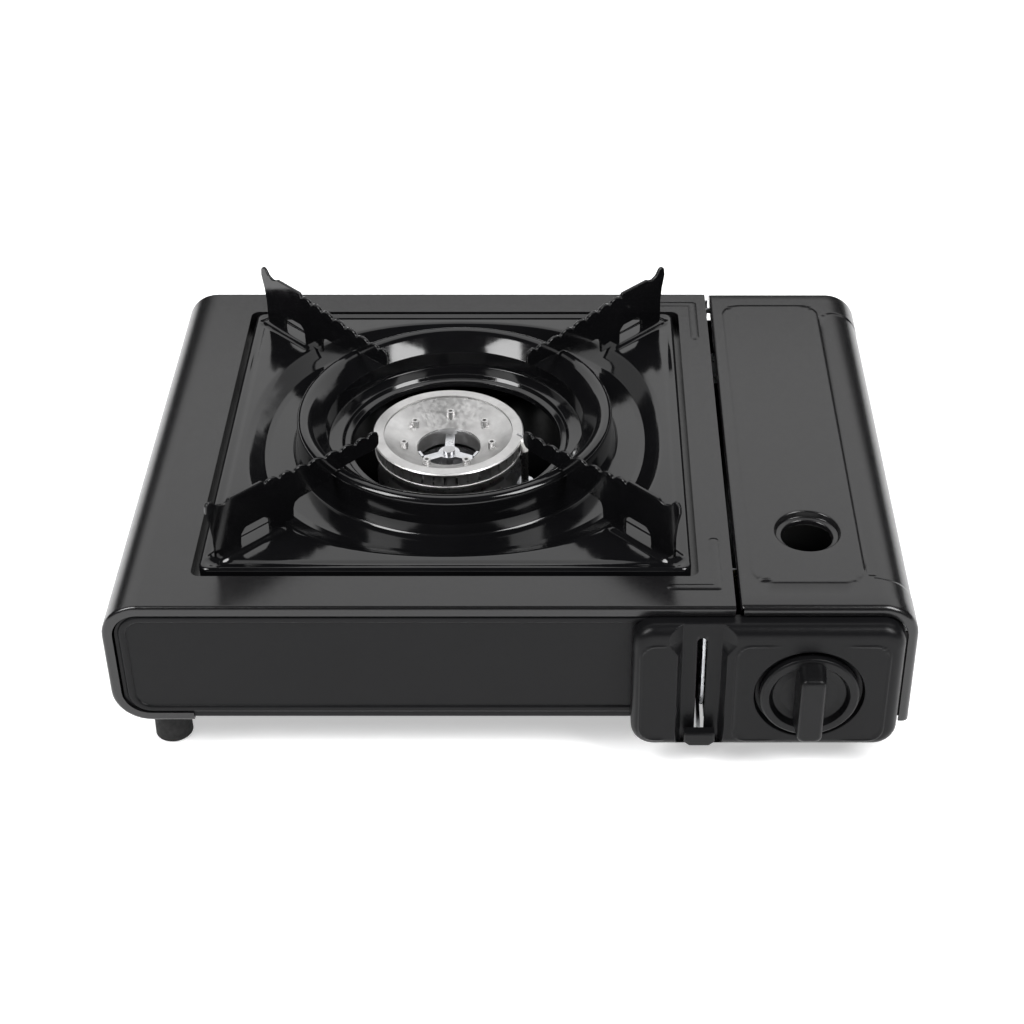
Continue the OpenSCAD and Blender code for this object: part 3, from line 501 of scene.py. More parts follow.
def lead_silicone():
    """Red silicone sleeve of the ignition lead."""
    f = Finish("lead_silicone", Specular_IOR_Level=0.4)
    f.tint(f.noise(90, 3), (0.30, 0.018, 0.012), (0.40, 0.030, 0.020))
    f.gloss(f.noise(300, 2), 0.42, 0.55)
    f.relief(f.noise(900, 2), 0.00001, 0.4)
    return f.material


def glazed_ceramic():
    """White glaze at the tip, near black below it."""
    f = Finish("glazed_ceramic", Coat_Weight=0.4, Coat_Roughness=0.1)
    apart = f.node("ShaderNodeSeparateXYZ")
    f.links.new(f.where, apart.inputs[0])
    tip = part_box("electrode_ceramic")[1][2]
    # White down to 4.8 mm below the tip, near black from 6.2 mm below it
    white_tip = f.spread(apart.outputs["Z"], 0, 1, tip - 0.0062, tip - 0.0048)
    f.tint(white_tip, (0.012, 0.012, 0.012), (0.84, 0.83, 0.80))
    f.gloss(f.noise(500, 2), 0.22, 0.34)
    f.relief(f.noise(1100, 2), 0.00001, 0.4)
    return f.material


FINISHES = {}


def finish(kind):
    """The finish of this kind, made once."""
    if kind not in FINISHES:
        FINISHES[kind] = kind()
    return FINISHES[kind]


def dress(kind, *nodes):
    """Gives the carried-over nodes their finish."""
    for name in nodes:
        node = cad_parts[name]
        if not node.material_slots:
            node.data.materials.append(finish(kind))
        for socket in node.material_slots:
            socket.material = finish(kind)


# ---- pieces ----


class STOVE_OT_shell(bpy.types.Operator):
    """Finishes the top shell, the pan and the bay"""

    bl_idname = "stove.shell"
    bl_label = "Shell"

    def execute(self, context):
        dress(powder_coat, "top_shell")
        dress(panel_coat, "base_pan", "bay_pan")
        return {"FINISHED"}


class STOVE_OT_works(bpy.types.Operator):
    """Finishes the parts inside: partition, regulator, lever work, gas pipe and ignition"""

    bl_idname = "stove.works"
    bl_label = "Works"

    def execute(self, context):
        dress(bright_zinc, "partition", "bay_bulkhead", "lid_hinge_leaf", "lock_lever", "lever_bracket")
        dress(bright_zinc, "pusher_bar", "diaphragm_cover", "burner_bracket", "electrode_bracket")
        dress(bright_zinc, "burner_spider", "mixing_tube", "regulator_body")
        dress(drawn_steel, "hinge_rod", "lever_pivot", "crank_pin", "pusher_rivets", "cover_screws")
        dress(drawn_steel, "diaphragm_spring", "burner_screws", "electrode", "foot_screws")
        dress(drawn_steel, "shell_screws", "burner_cup")
        dress(turned_brass, "valve_stem", "jet", "gas_pipe")
        dress(foot_rubber, "socket_seal", "feet")
        dress(moulded_black, "igniter")
        dress(lead_silicone, "ignition_lead")
        dress(glazed_ceramic, "electrode_ceramic")
        return {"FINISHED"}


class STOVE_OT_burner(bpy.types.Operator):
    """Finishes the burner head"""

    bl_idname = "stove.burner"
    bl_label = "Burner"

    def execute(self, context):
        dress(machined_casting, "burner_ring", "burner_disc")
        return {"FINISHED"}


def lid_line(left):
    """The lid's outer line across the stove, from the slit at left over the shoulder and down the side:
    stations, points (x, z) and outward normals. The shoulder is an arc of radius SHOULDER."""
    flat = HALF - SHOULDER - left
    turn = SHOULDER * math.pi / 2
    end = flat + turn + TOP - SHOULDER - LID_LOW[2]
    s = filled([0, 4.0, 5.4, 6.8, 10, flat - 10, flat - 5, flat - 2.6, flat, flat + turn, end - 3, end], 4)
    close = (np.linspace(flat, flat + turn, 33), np.linspace(4.2, 6.8, 9), np.linspace(50.6, 53.2, 9))
    s = filled(np.concatenate([s, *close]), 6)
    s = filled(np.concatenate([s, [HOLE_X - HOLE_HALF - left, HOLE_X + HOLE_HALF - left]]), 6)
    a = np.clip((s - flat) / SHOULDER, 0, math.pi / 2)
    x = left + np.minimum(s, flat) + SHOULDER * np.sin(a)
    z = TOP - SHOULDER + SHOULDER * np.cos(a) - np.maximum(s - flat - turn, 0)
    return s, np.stack([x, z], 1), np.stack([np.sin(a), np.cos(a)], 1)


def lid_sink(s, y, left, recess):
    """Depth of the lid's pressings under its outer skin: a raised flat panel, a sunk shoulder and a pip."""
    x = left + s
    raised = -0.35 * ramp(-box_gap(x, y, 101.8, 149.6, 16.4, 242, 9), -0.6, 0.9)
    sunk = recess * (1 - 0.7 * ramp(x, 152, 176)) * ramp(-box_gap(x, y, 149.4, 400, 19, 236, 9), 0.0, 1.1)
    pip = -0.4 * ramp(-box_gap(x, y, 105.4, 109.6, 17.2, 19.6, 1.1), 0, 1.0)
    return raised + sunk + pip


class STOVE_OT_lid(bpy.types.Operator):
    """Makes the cartridge lid with its raised panel, sunk shoulder and finger hole"""

    bl_idname = "stove.lid"
    bl_label = "Cartridge lid"

    def execute(self, context):
        v = sizes()
        skin = Skin()
        left = LID_LOW[0] + LIP
        flat = HALF - SHOULDER - left
        s, line, out = lid_line(left)
        edge = bent([(0.8, v["rim"]), (0, v["rim"]), (0, 0), (9, 0)], [0, 0.2, v["edge"], 0], 6)[:-1]
        far = edge[::-1] * [-1, 1] + [DEPTH, 0]
        marks = [edge[-1, 0], far[0, 0], HOLE_Y - HOLE_HALF, HOLE_Y + HOLE_HALF]
        close = (np.linspace(16, 24, 17), np.linspace(232, 243.5, 24), np.linspace(28, 225, 24))
        rows = filled(np.concatenate([marks, *close]), 8)
        section = np.concatenate([edge, np.stack([rows[1:-1], 0 * rows[1:-1]], 1), far])
        along = section[None, :, 0]
        depth = section[None, :, 1]
        sink = depth + lid_sink(s[:, None], along, left, v["recess"]) * (depth == 0)
        p = np.empty((len(s), len(section), 3))
        p[..., 0] = line[:, None, 0] - out[:, None, 0] * sink
        p[..., 1] = along
        p[..., 2] = line[:, None, 1] - out[:, None, 1] * sink
        mid_x = (line[1:, 0] + line[:-1, 0])[:, None] / 2
        mid_y = (section[1:, 0] + section[:-1, 0])[None] / 2
        in_patch = (abs(mid_x - HOLE_X) < HOLE_HALF) & (abs(mid_y - HOLE_Y) < HOLE_HALF)
        on_top = (s[1:, None] < flat + 0.1) & (section[None, 1:, 1] < 0.5)
        skin.grid(p, keep=~(in_patch & on_top))

        rise = TOP + 0.35
        mouth = [(16.4, rise), (14.3, rise), (13.5, TOP - 2.2), (11.3, TOP - 2.5)]
        mouth += [(10.9, TOP - 4.4), (11.6, TOP - 5.2)]
        turns = np.arange(96) / 96 * 2 * math.pi
        reach = HOLE_HALF / np.maximum(abs(np.cos(turns)), abs(np.sin(turns)))
        rings = [level_ring(HOLE_X, HOLE_Y, reach, turns, rise)]
        for r, z in bent(mouth, [0, 0.8, 0.5, 0.6, 0.4, 0], 5):
            rings.append(level_ring(HOLE_X, HOLE_Y, r, turns, z))
        skin.grid(np.array(rings), closed=True, flip=True)

        small = edge[edge[:, 1] <= LIP]
        turnover = bent([(LID_LOW[0], TOP - LIP_DROP), (LID_LOW[0], TOP), (left, TOP)], [0, 1.15, 0], 6)
        side = left_of(turnover)
        cut = np.concatenate([small, [[DEPTH / 2, 0]], small[::-1] * [-1, 1] + [DEPTH, 0]])
        q = np.empty((len(turnover), len(cut), 3))
        q[..., 0] = turnover[:, None, 0] - side[:, None, 0] * cut[None, :, 1]
        q[..., 1] = cut[None, :, 0]
        q[..., 2] = turnover[:, None, 1] - side[:, None, 1] * cut[None, :, 1]
        skin.grid(q)
        for y, outward in ((0.0, -1), (DEPTH, 1)):
            corners = [[(x, y, z) for x in (LID_LOW[0], left)] for z in (TOP - LIP_DROP, TOP - LIP)]
            skin.grid(corners, normal=(0, outward, 0))
        skin.make("Cartridge_lid", "lid", finish(powder_coat), "satin_black_coat", "cartridge_lid")
        return {"FINISHED"}


def panel_face(x, z):
    """Depth of the control panel's front behind its foremost plane: a pillowed edge, the lever's channel with
    its flared top corners, and fine raised lines round the fields."""
    x0, x1, z0, z1 = PANEL_LOW[0], PANEL_HIGH[0], PANEL_LOW[2], PANEL_HIGH[2]
    soft = 5.0
    t = np.clip(-box_gap(x, z, x0, x1, z0, z1, PANEL_CORNER), 0, soft)
    pillow = soft - np.sqrt(np.maximum(soft * soft - (soft - t) ** 2, 0))
    d = abs(x - CHANNEL_X)
    outer = 10.4 + 3.7 * np.clip((z - 64.2) / 5.2, 0, 1)
    channel = 4.4 * np.clip((outer - d) / (outer - 8.2), 0, 1) * ramp(z, z0 + 0.3, z0 + 2)
    broken = ramp(x, 108, 114) * (1 - ramp(x, 139, 145))
    line = ridge(box_gap(x, z, 94.3, 158.4, 16.6, 69.3, 6.5), 1.9) * (1 - broken)
    left_line = ridge(box_gap(x, z, 54.6, 120, 17, 69.3, 6.5), 1.9) * (x < 66) * (1 - ramp(x, 63.5, 66))
    return np.maximum(pillow, channel) - 0.42 * np.maximum(line, left_line) * (channel < 0.01)


class STOVE_OT_panel(bpy.types.Operator):
    """Makes the control panel with its channel, slot and knob dish"""

    bl_idname = "stove.panel"
    bl_label = "Control panel"

    def execute(self, context):
        x0, x1, z0, z1 = PANEL_LOW[0], PANEL_HIGH[0], PANEL_LOW[2], PANEL_HIGH[2]
        face = PANEL_LOW[1] - FRONT
        back = PANEL_HIGH[1] - FRONT
        soft = 5 * (1 - np.cos(np.linspace(0, math.pi / 2, 11)))
        slot_x = (CHANNEL_X - 3, CHANNEL_X + 3)
        slot_z = (z0 + 2.2, z0 + 58.6)
        marks = [*slot_x, KNOB_X - DISH_HALF, KNOB_X + DISH_HALF, 60, 100]
        close = [np.linspace(65.5, 73, 26), np.linspace(87.5, 95.1, 27)]
        close += [np.linspace(53, 56, 10), np.linspace(157.2, 159.8, 9)]
        xs = filled(np.concatenate([x0 + soft, x1 - soft, marks, *close]), 1.6)
        marks = [*slot_z, KNOB_Z - DISH_HALF, KNOB_Z + DISH_HALF]
        close = [np.linspace(15.4, 17.9, 9), np.linspace(67.9, 70.6, 10)]
        close += [np.linspace(63.5, 68, 12), np.linspace(z0 + 0.3, z0 + 2.2, 6)]
        zs = filled(np.concatenate([z0 + soft, z1 - soft, marks, *close]), 1.6)
        x, z = np.meshgrid(xs, zs, indexing="ij")
        down = np.clip(PANEL_CORNER - np.minimum(z - z0, z1 - z), 0, PANEL_CORNER)
        pull = PANEL_CORNER - np.sqrt(PANEL_CORNER ** 2 - down ** 2)
        near_left = np.clip(1 - (x - x0) / 16, 0, 1)
        near_right = np.clip(1 - (x1 - x) / 16, 0, 1)
        x = x + pull * near_left - pull * near_right
        p = np.stack([x, face + panel_face(x, z), z], -1)
        cx = (xs[1:] + xs[:-1])[:, None] / 2
        cz = (zs[1:] + zs[:-1])[None] / 2
        in_dish = (abs(cx - KNOB_X) < DISH_HALF) & (abs(cz - KNOB_Z) < DISH_HALF)
        in_slot = (cx > slot_x[0]) & (cx < slot_x[1]) & (cz > slot_z[0]) & (cz < slot_z[1])
        skin = Skin().grid(p, keep=~in_dish & ~in_slot)
        for edge, flip in ((p[0], False), (p[-1], True), (p[:, 0], True), (p[:, -1], False)):
            rear = np.stack([edge[:, 0], 0 * edge[:, 0] + back, edge[:, 2]], 1)
            skin.grid(np.stack([edge, rear]), flip=flip)

        turns = np.arange(128) / 128 * 2 * math.pi
        reach = DISH_HALF / np.maximum(abs(np.cos(turns)), abs(np.sin(turns)))
        rings = [upright_ring(KNOB_X, KNOB_Z, reach, turns, face)]
        dish = [(24.6, 0), (23.4, 0), (22.9, 2.8), (9.5, 2.8), (9.5, 3.6)]
        for r, d in bent(dish, [0, 0.5, 0.5, 0.2, 0], 5):
            rings.append(upright_ring(KNOB_X, KNOB_Z, r, turns, face + d))
        skin.grid(np.array(rings), closed=True)

        patch = loop_of(6, slot_z[1] - slot_z[0], 0, 6, 16)
        middle = (slot_z[0] + slot_z[1]) / 2
        mouth = [np.stack([CHANNEL_X + patch[:, 0], face + 4.4 + 0 * patch[:, 0], middle + patch[:, 1]], 1)]
        for w, h, r, d in ((4.3, 54.7, 2.0, 4.4), (4.0, 54.4, 1.95, 4.6), (4.0, 54.4, 1.95, 5.3)):
            loop = loop_of(w, h, r, 6, 16)
            x = CHANNEL_X + loop[:, 0]
            mouth.append(np.stack([x, face + d + 0 * x, z0 + 30.2 + loop[:, 1]], 1))
        skin.grid(np.array(mouth), closed=True)
        skin.make("Control_panel", "shell", finish(panel_coat), "black_coat", "control_panel")
        return {"FINISHED"}


class STOVE_OT_knob(bpy.types.Operator):
    """Makes the knob with its dished disc and grip bar"""

    bl_idname = "stove.knob"
    bl_label = "Knob"

    def execute(self, context):
        face = PANEL_LOW[1] - FRONT
        front = KNOB_LOW[1] - FRONT
        rim = (KNOB_HIGH[0] - KNOB_LOW[0]) / 2
        skin = Skin()
        turns = np.arange(128) / 128 * 2 * math.pi
        corners = [(7, face + 3.6), (rim - 0.3, face + 2.2), (rim, face + 1.6), (rim, face - 1.4)]
        corners += [(rim - 0.9, face - 2), (rim - 3.9, face - 2), (rim - 5.4, face + 0.4)]
        corners += [(rim - 9, face + 0.8), (0.5, face + 0.8)]
        profile = bent(corners, [0, 0.3, 0.2, 0.5, 0.6, 0.5, 0.9, 2, 0], 5)
        disc = [upright_ring(KNOB_X, KNOB_Z, r, turns, y) for r, y in profile]
        skin.grid(np.array(disc), closed=True)

        soft = 1.6
        depth = face + 0.9 - front
        straight = np.linspace(0, 1 - soft / depth, 8)
        rounded = 1 - soft / depth * (1 - np.sin(np.linspace(0.2, math.pi / 2, 8)))
        rings = []
        for t in np.concatenate([straight, rounded]):
            y = face + 0.9 - depth * t
            inset = soft - math.sqrt(max(soft ** 2 - max(soft - depth * (1 - t), 0) ** 2, 0))
            w = 12.2 - 1.8 * t - 2 * inset
            h = 39.0 - 5.6 * t - 2 * inset
            loop = loop_of(w, h, 4.2 - 1.4 * t - 0.4 * inset, 8, 10)
            rings.append(np.stack([KNOB_X + loop[:, 0], y + 0 * loop[:, 0], KNOB_Z + loop[:, 1]], 1))
        skin.grid(np.array(rings), closed=True).disc(rings[-1])
        skin.make("Knob_grip", "knob_set", finish(moulded_black), "black_plastic", "knob")
        return {"FINISHED"}


def arm_outline(h):
    """Outline of a pan support in its own plane: distance from the tray's middle and height above the tray,
    with its straight top edge at h."""
    valleys = [109.6, 101.7, 94, 85.5, 76.5, 68, 59.5, 52.2, 46.6]
    wave = []
    for a, b in zip(valleys, valleys[1:]):
        for f in np.linspace(0, 1, 9)[:-1]:
            r = a + (b - a) * f
            foot = h - 2.1 - min(0.09 * (109 - r), 4.2)
            wave.append((r, foot + 1.9 * math.sin(math.pi * f) ** 0.7 - 0.4))
    points = [(125, 0), (138.2, 0), (138, h - 16), (138.8, h - 9), (140.5, h - 2), (140.2, h + 1.6)]
    points += [(138.6, h + 3.2), (136.6, h + 2.4), (134.8, h - 0.2), (131.5, h - 1.5), (129.4, h - 0.8)]
    points += [(128, h), (110.6, h), (109.6, h - 1.4)]
    outer = bent(points, [0, 0, 6, 6, 2, 1.4, 1.2, 1.2, 2, 2, 1.5, 0.5, 0.8, 0.3], 4)
    points = [(46.6, h - 6), (46, h - 8), (46.2, h - 12), (47.6, 13.8), (50, 13.4), (59, 13.1), (65, 13)]
    points += [(73.4, 12.9), (75.2, 9.8), (88, 9.1), (92, 9), (94.6, 8), (95.6, 5.4), (96, 0), (108, 0)]
    points += [(109, 1.8), (109, 6.3), (111.5, 8.8), (121.5, 8.8), (124, 6.3), (124.6, 1.4), (125, 0)]
    radii = [0, 0.8, 2, 0.6, 1, 6, 6, 1, 1, 4, 2, 1.5, 2, 0, 0, 1, 2, 2, 2, 2, 1, 0]
    inner = bent(points, radii, 4)[:-1]
    return np.concatenate([outer, wave, inner])


class STOVE_OT_supports(bpy.types.Operator):
    """Makes the four pan supports as plates with rounded edges"""

    bl_idname = "stove.supports"
    bl_label = "Pan supports"

    def execute(self, context):
        high = edges_mm("pan_support_rr")[1]
        line = arm_outline(high[2] - TRAY_TOP - 3.2)
        far = np.linalg.norm(np.diff(np.concatenate([line, line[:1]]), axis=0), axis=1)
        line = line[far > 0.02]
        ahead = unit(np.roll(line, -1, 0) - line)
        behind = unit(line - np.roll(line, 1, 0))
        inwards = unit(np.stack([-(ahead + behind)[:, 1], (ahead + behind)[:, 0]], 1))
        square = (inwards * np.stack([-ahead[:, 1], ahead[:, 0]], 1)).sum(1)
        grow = np.clip(1 / np.maximum(square, 0.5), 1, 1.6)[:, None]
        half = 0.75
        soft = 0.4
        middle = np.array([TRAY_X, TRAY_Y, TRAY_TOP])
        upwards = np.array([0, 0, 1])
        bends = [(1, b) for b in np.linspace(math.pi / 2, 0, 5)]
        bends += [(-1, b) for b in np.linspace(0, math.pi / 2, 5)]
        for k, node in enumerate(("pan_support_rr", "pan_support_rl", "pan_support_fl", "pan_support_fr")):
            a = math.pi / 4 + k * math.pi / 2
            along = np.array([math.cos(a), math.sin(a), 0])
            across = np.array([-math.sin(a), math.cos(a), 0])
            loops = []
            for side, b in bends:
                inset = soft * (1 - math.cos(b))
                q = line + inwards * grow * inset
                shift = side * (half - soft + soft * math.sin(b))
                loops.append(middle + q[:, :1] * along + upwards * q[:, 1:] + across * shift)
            skin = Skin().grid(np.array(loops), closed=True, flip=True)
            skin.disc(loops[0], flip=True).disc(loops[-1])
            skin.normals[-2] = np.broadcast_to(across, loops[0].shape)
            skin.normals[-1] = np.broadcast_to(-across, loops[0].shape)
            skin.make("Pan_support_" + node[-2:], "tray", finish(gloss_enamel), "black_enamel", node)
        return {"FINISHED"}


class STOVE_OT_tray(bpy.types.Operator):
    """Makes the enamelled drip tray with its basin, raised ring, funnel and corner ridges"""

    bl_idname = "stove.tray"
    bl_label = "Drip tray"

    def execute(self, context):
        parts = [np.linspace(0, 38, 20), np.linspace(38, 52, 41), np.linspace(52, 90, 20)]
        corner = np.concatenate([part[:-1] for part in parts])
        turns = np.radians(np.concatenate([corner + 90 * k for k in range(4)]))
        c = np.cos(turns)
        s = np.sin(turns)
        half = TRAY_W / 2

        def square(h, r):
            """Distance from the middle to a rounded square of half side h, at each angle."""
            straight = h / np.maximum(abs(c), abs(s))
            q = (h - r) * (abs(c) + abs(s))
            arc = q + np.sqrt(np.maximum(q * q - 2 * (h - r) ** 2 + r * r, 0))
            inside = np.minimum(abs(c), abs(s)) * straight > h - r
            return np.where(inside, arc, straight)

        grow = 6.5 * np.sin(2 * turns) ** 2
        basin = [(96.2, 0), (95.3, -0.08), (94, -0.6), (92.6, -1.4)]
        foot = [(92.6, -1.4), (87.6, -4.7), (85.4, -5), (75.2, -5), (74.4, -4.4), (73, 0), (72.4, 9.6)]
        crest = []
        for q in np.radians([15, 30, 40, 50, 60, 70, 80, 90]):
            crest.append((72.4 - 2.8 * (1 - math.cos(q)), 9.6 + 2.8 * math.sin(q)))
        for q in np.radians([6, 12, 18, 24, 30, 36, 42]):
            crest.append((69.6 - 6 * math.sin(q), 12.4 - 6 * (1 - math.cos(q))))
        funnel = [crest[-1], (59.4, 5.2), (58.8, -2.8), (52.4, -3.1), (51.3, -4.7)]
        funnel += [(48.6, -4.9), (48.3, -7.5)]
        wall = bent(foot, [0, 1.5, 2, 0.6, 0.8, 2, 0], 5)[1:]
        inside = bent(funnel, [0, 0.7, 0.6, 0.6, 0.4, 0.4, 0], 5)[1:]
        bowl = np.concatenate([basin, wall, crest, inside])

        soft = 1.6
        rings = [(square(half, 4.6), z + 0 * c) for z in (-7.6, -1.6)]
        for b in np.linspace(0.25, math.pi / 2, 7):
            r = square(half - soft + soft * math.cos(b), 3 + soft * math.cos(b))
            rings.append((r, 0 * c - soft + soft * math.sin(b)))
        groove = ((0.7, -0.06), (1.4, -0.22), (2.1, -0.34), (2.8, -0.34), (3.5, -0.22), (4.2, -0.07), (5, 0))
        for d, z in groove:
            rings.append((square(half - soft - d, 3), 0 * c + z))
        outer = rings[-1][0]
        for t in np.linspace(0, 1, 30)[1:-1]:
            rings.append((outer + (96.6 + grow - outer) * t, 0 * c))
        for r, z in bowl:
            share = np.clip((r - 80) / 12, 0, 1)
            rings.append((r + grow * share, z + 0 * c))
        radius = np.array([r for r, z in rings])
        height = np.array([z for r, z in rings])
        x = radius * c
        y = radius * s
        along = (abs(x) + abs(y)) / math.sqrt(2)
        across = (abs(x) - abs(y)) / math.sqrt(2)
        ends = ramp(along, 102, 105) * (1 - ramp(along, 137, 141))
        height = height + 1.5 * ramp(5.4 - abs(across), 0, 2.2) * ends * (abs(height) < 0.5)
        p = np.stack([TRAY_X + x, TRAY_Y + y, TRAY_TOP + height], -1)
        skin = Skin().grid(p, closed=True, flip=True)
        skin.make("Drip_tray", "tray", finish(gloss_enamel), "black_enamel", "drip_tray")
        return {"FINISHED"}


class STOVE_OT_lever_cap(bpy.types.Operator):
    """Makes the cap on the cartridge lever"""

    bl_idname = "stove.lever_cap"
    bl_label = "Lever cap"

    def execute(self, context):
        low, high = edges_mm("lever_cap")
        front = low[1] - FRONT
        back = high[1] - FRONT
        soft = 0.9
        outline = [(low[0], high[2]), (low[0], low[2] + 2), (low[0] + 2.2, low[2])]
        outline += [(high[0] - 2.2, low[2]), (high[0], low[2] + 2), (high[0], high[2])]
        outline = np.array(outline)
        radii = [0.6, 0.6, 0.8, 0.8, 0.8, 0.6, 0.6, 0]
        ring = bent(np.concatenate([outline, outline[:2]]), radii, 4)[1:-1]
        mid = (outline.min(0) + outline.max(0)) / 2
        steps = [(0, back), (0, front + soft)]
        for b in np.linspace(0.2, math.pi / 2, 6):
            steps.append((soft * (1 - math.cos(b)), front + soft * (1 - math.sin(b))))
        rings = []
        for inset, y in steps:
            q = mid + (ring - mid) * (1 - inset / 4.2)
            rings.append(np.stack([q[:, 0], 0 * q[:, 0] + y, q[:, 1]], 1))
        skin = Skin().disc(rings[0]).grid(np.array(rings), closed=True).disc(rings[-1])
        skin.make("Lever_cap", "lever", finish(moulded_black), "black_plastic", "lever_cap")
        return {"FINISHED"}


class STOVE_OT_front_line(bpy.types.Operator):
    """Makes the raised line round the front wall"""

    bl_idname = "stove.front_line"
    bl_label = "Front line"

    def execute(self, context):
        rise = sizes()["field"]
        x0, x1 = -HALF + 7.5, PANEL_LOW[0] + 20
        z0, z1 = SHELL_LOW[2] + 5.3, TOP - 6
        loops = []
        for t in np.linspace(-1, 1, 13):
            inset = 1 + 1.8 * t
            loop = loop_of(x1 - x0 - 2 * inset, z1 - z0 - 2 * inset, 9.5 - inset, 10, 20)
            height = rise * (1 - t ** 4) - 0.02
            x = (x0 + x1) / 2 + loop[:, 0]
            z = (z0 + z1) / 2 + loop[:, 1]
            loops.append(np.stack([x, 1.2 - height + 0 * x, z], 1))
        skin = Skin().grid(np.array(loops), closed=True)
        skin.make("Front_line", "shell", finish(panel_coat), "black_coat")
        return {"FINISHED"}


# ---- studio ----


# Name, width and height, place and aim in metres, and power in watts of each lamp
LAMPS = (
    ("Left_box", (0.5, 0.85), (-0.87, -0.55, 1.12), (0, 0, 0.08), 16.5),
    ("Right_box", (0.5, 0.85), (0.82, -0.55, 1.12), (0, 0, 0.08), 16.5),
    ("Rear_panel", (2.4, 0.8), (0, 0.78, 0.86), (0, 0.05, 0.08), 7.8),
    ("Front_card", (3.0, 0.3), (0, -1.9, 0.17), (0, 0, 0.08), 3.2),
)


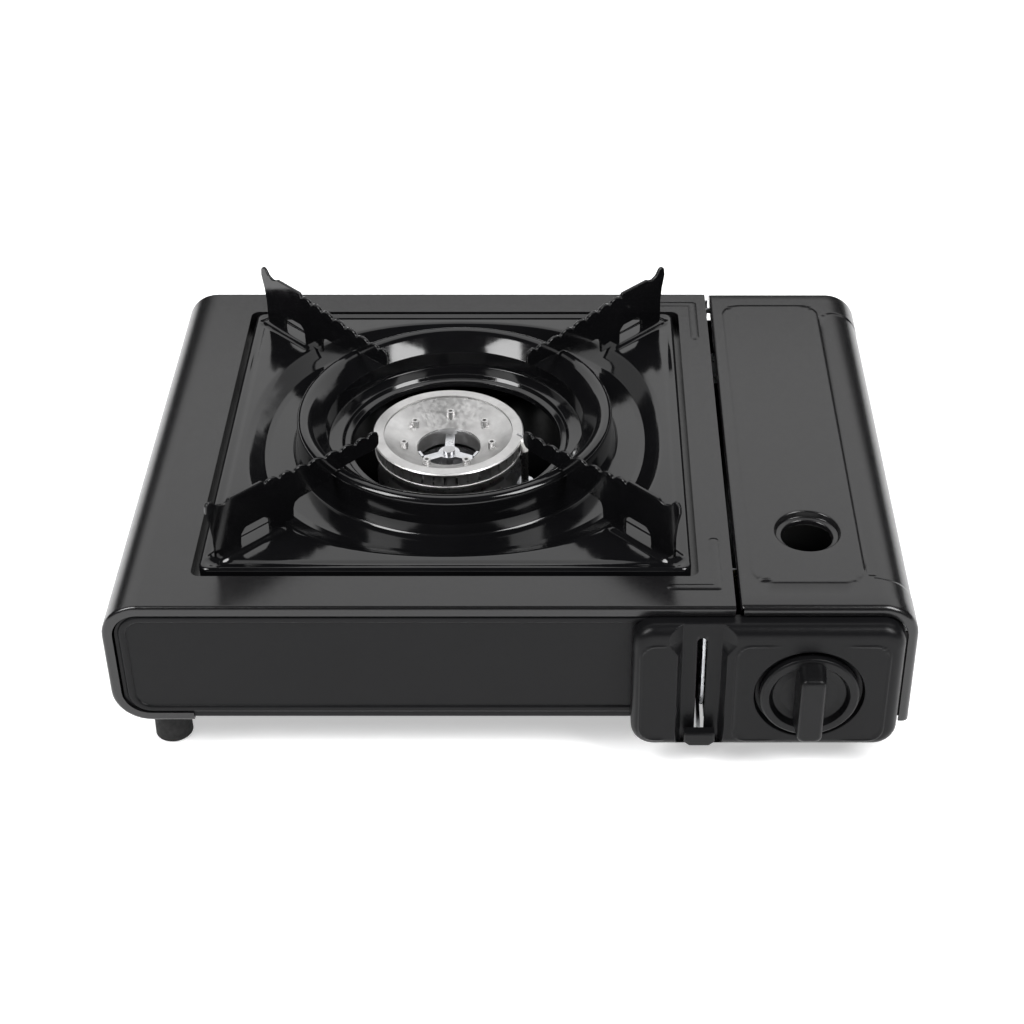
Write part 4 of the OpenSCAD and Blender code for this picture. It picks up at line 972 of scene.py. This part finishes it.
class STOVE_OT_studio(bpy.types.Operator):
    """Makes the floor, the lights and the camera"""

    bl_idname = "stove.studio"
    bl_label = "Studio"

    def execute(self, context):
        scene = bpy.context.scene
        floor = Finish("studio_floor", Specular_IOR_Level=0.0)
        floor.tint(floor.noise(3, 2), (0.86, 0.86, 0.865), (0.88, 0.88, 0.885))
        floor.gloss(floor.noise(9, 2), 0.85, 0.95)
        light = floor.node("ShaderNodeLightPath")
        seen = floor.node("ShaderNodeMath", operation="MAXIMUM")
        floor.links.new(light.outputs["Is Camera Ray"], seen.inputs[0])
        floor.links.new(light.outputs["Is Glossy Ray"], seen.inputs[1])
        both = floor.node("ShaderNodeMath", operation="MAXIMUM")
        floor.links.new(seen.outputs[0], both.inputs[0])
        floor.links.new(light.outputs["Is Transmission Ray"], both.inputs[1])
        lift = floor.node("ShaderNodeMath", operation="MULTIPLY")
        lift.inputs[1].default_value = 0.46
        floor.links.new(both.outputs[0], lift.inputs[0])
        floor.shader.inputs["Emission Color"].default_value = (1, 1, 1, 1)
        floor.links.new(lift.outputs[0], floor.shader.inputs["Emission Strength"])
        mesh = bpy.data.meshes.new("Studio_floor")
        n = 9
        steps = np.linspace(-4, 4, n)
        gx, gy = np.meshgrid(steps, steps, indexing="ij")
        corners = np.stack([gx, gy, 0 * gx], -1).reshape(-1, 3).tolist()
        starts = [i * n + j for i in range(n - 1) for j in range(n - 1)]
        mesh.from_pydata(corners, [], [(k, k + n, k + n + 1, k + 1) for k in starts])
        mesh.materials.append(floor.material)
        ground = bpy.data.objects.new("Studio_floor", mesh)
        scene.collection.objects.link(ground)

        world = bpy.data.worlds.new("Studio")
        world.use_nodes = True
        nodes, links = world.node_tree.nodes, world.node_tree.links
        back = nodes["Background"]
        back.inputs["Color"].default_value = (0.22, 0.22, 0.22, 1)
        dark = nodes.new("ShaderNodeMath")
        dark.operation = "MULTIPLY_ADD"
        dark.inputs[1].default_value = -0.92
        dark.inputs[2].default_value = 1.0
        white = nodes.new("ShaderNodeBackground")
        white.inputs["Color"].default_value = (1, 1, 1, 1)
        path = nodes.new("ShaderNodeLightPath")
        mix = nodes.new("ShaderNodeMixShader")
        seen = nodes.new("ShaderNodeMath")
        seen.operation = "MAXIMUM"
        links.new(path.outputs["Is Camera Ray"], seen.inputs[0])
        links.new(path.outputs["Is Transmission Ray"], seen.inputs[1])
        links.new(seen.outputs[0], mix.inputs["Fac"])
        links.new(path.outputs["Is Glossy Ray"], dark.inputs[0])
        links.new(dark.outputs[0], back.inputs["Strength"])
        links.new(back.outputs[0], mix.inputs[1])
        links.new(white.outputs[0], mix.inputs[2])
        links.new(mix.outputs[0], nodes["World Output"].inputs["Surface"])
        scene.world = world

        for name, size, place, aim, power in LAMPS:
            lamp = bpy.data.lights.new(name, "AREA")
            lamp.shape = "RECTANGLE"
            lamp.size, lamp.size_y = size
            lamp.energy = power
            body = bpy.data.objects.new(name, lamp)
            body.location = place
            d = np.array(aim) - np.array(place)
            body.rotation_euler = Vector(d).to_track_quat("-Z", "Y").to_euler()
            scene.collection.objects.link(body)

        lens = bpy.data.cameras.new("Camera")
        lens.lens, lens.sensor_width, lens.shift_x = 72.42, 36, -0.0575
        camera = bpy.data.objects.new("Camera", lens)
        camera.location = (0.0254, FRONT * MM - 0.6599, TOP * MM + 0.5399)
        camera.rotation_euler = (math.radians(53.38), 0, 0)
        scene.collection.objects.link(camera)
        scene.camera = camera
        scene.view_settings.view_transform = "Standard"
        return {"FINISHED"}


# ---- add-on ----


class STOVE_PT_side(bpy.types.Panel):
    """Lists the pieces of the stove"""

    bl_idname = "STOVE_PT_side"
    bl_label = "Cassette Stove"
    bl_space_type = "VIEW_3D"
    bl_region_type = "UI"
    bl_category = "Stove"

    def draw(self, context):
        for group in (context.scene.stove_sizes, context.scene.stove_colours):
            box = self.layout.box()
            for key in group.__annotations__:
                box.prop(group, key)
        for step in STEPS:
            self.layout.operator(step.bl_idname)


STEPS = (
    STOVE_OT_shell,
    STOVE_OT_works,
    STOVE_OT_lid,
    STOVE_OT_panel,
    STOVE_OT_front_line,
    STOVE_OT_knob,
    STOVE_OT_lever_cap,
    STOVE_OT_tray,
    STOVE_OT_supports,
    STOVE_OT_burner,
    STOVE_OT_studio,
)


def register():
    for kind in (StoveSizes, StoveColours, *STEPS, STOVE_PT_side):
        bpy.utils.register_class(kind)
    bpy.types.Scene.stove_sizes = PointerProperty(type=StoveSizes)
    bpy.types.Scene.stove_colours = PointerProperty(type=StoveColours)


def unregister():
    del bpy.types.Scene.stove_colours
    del bpy.types.Scene.stove_sizes
    for kind in (STOVE_PT_side, *reversed(STEPS), StoveColours, StoveSizes):
        bpy.utils.unregister_class(kind)


def main():
    """Makes the whole stove."""
    register()
    for step in STEPS:
        group, name = step.bl_idname.split(".")
        getattr(getattr(bpy.ops, group), name)()


if __name__ == "__main__":
    main()
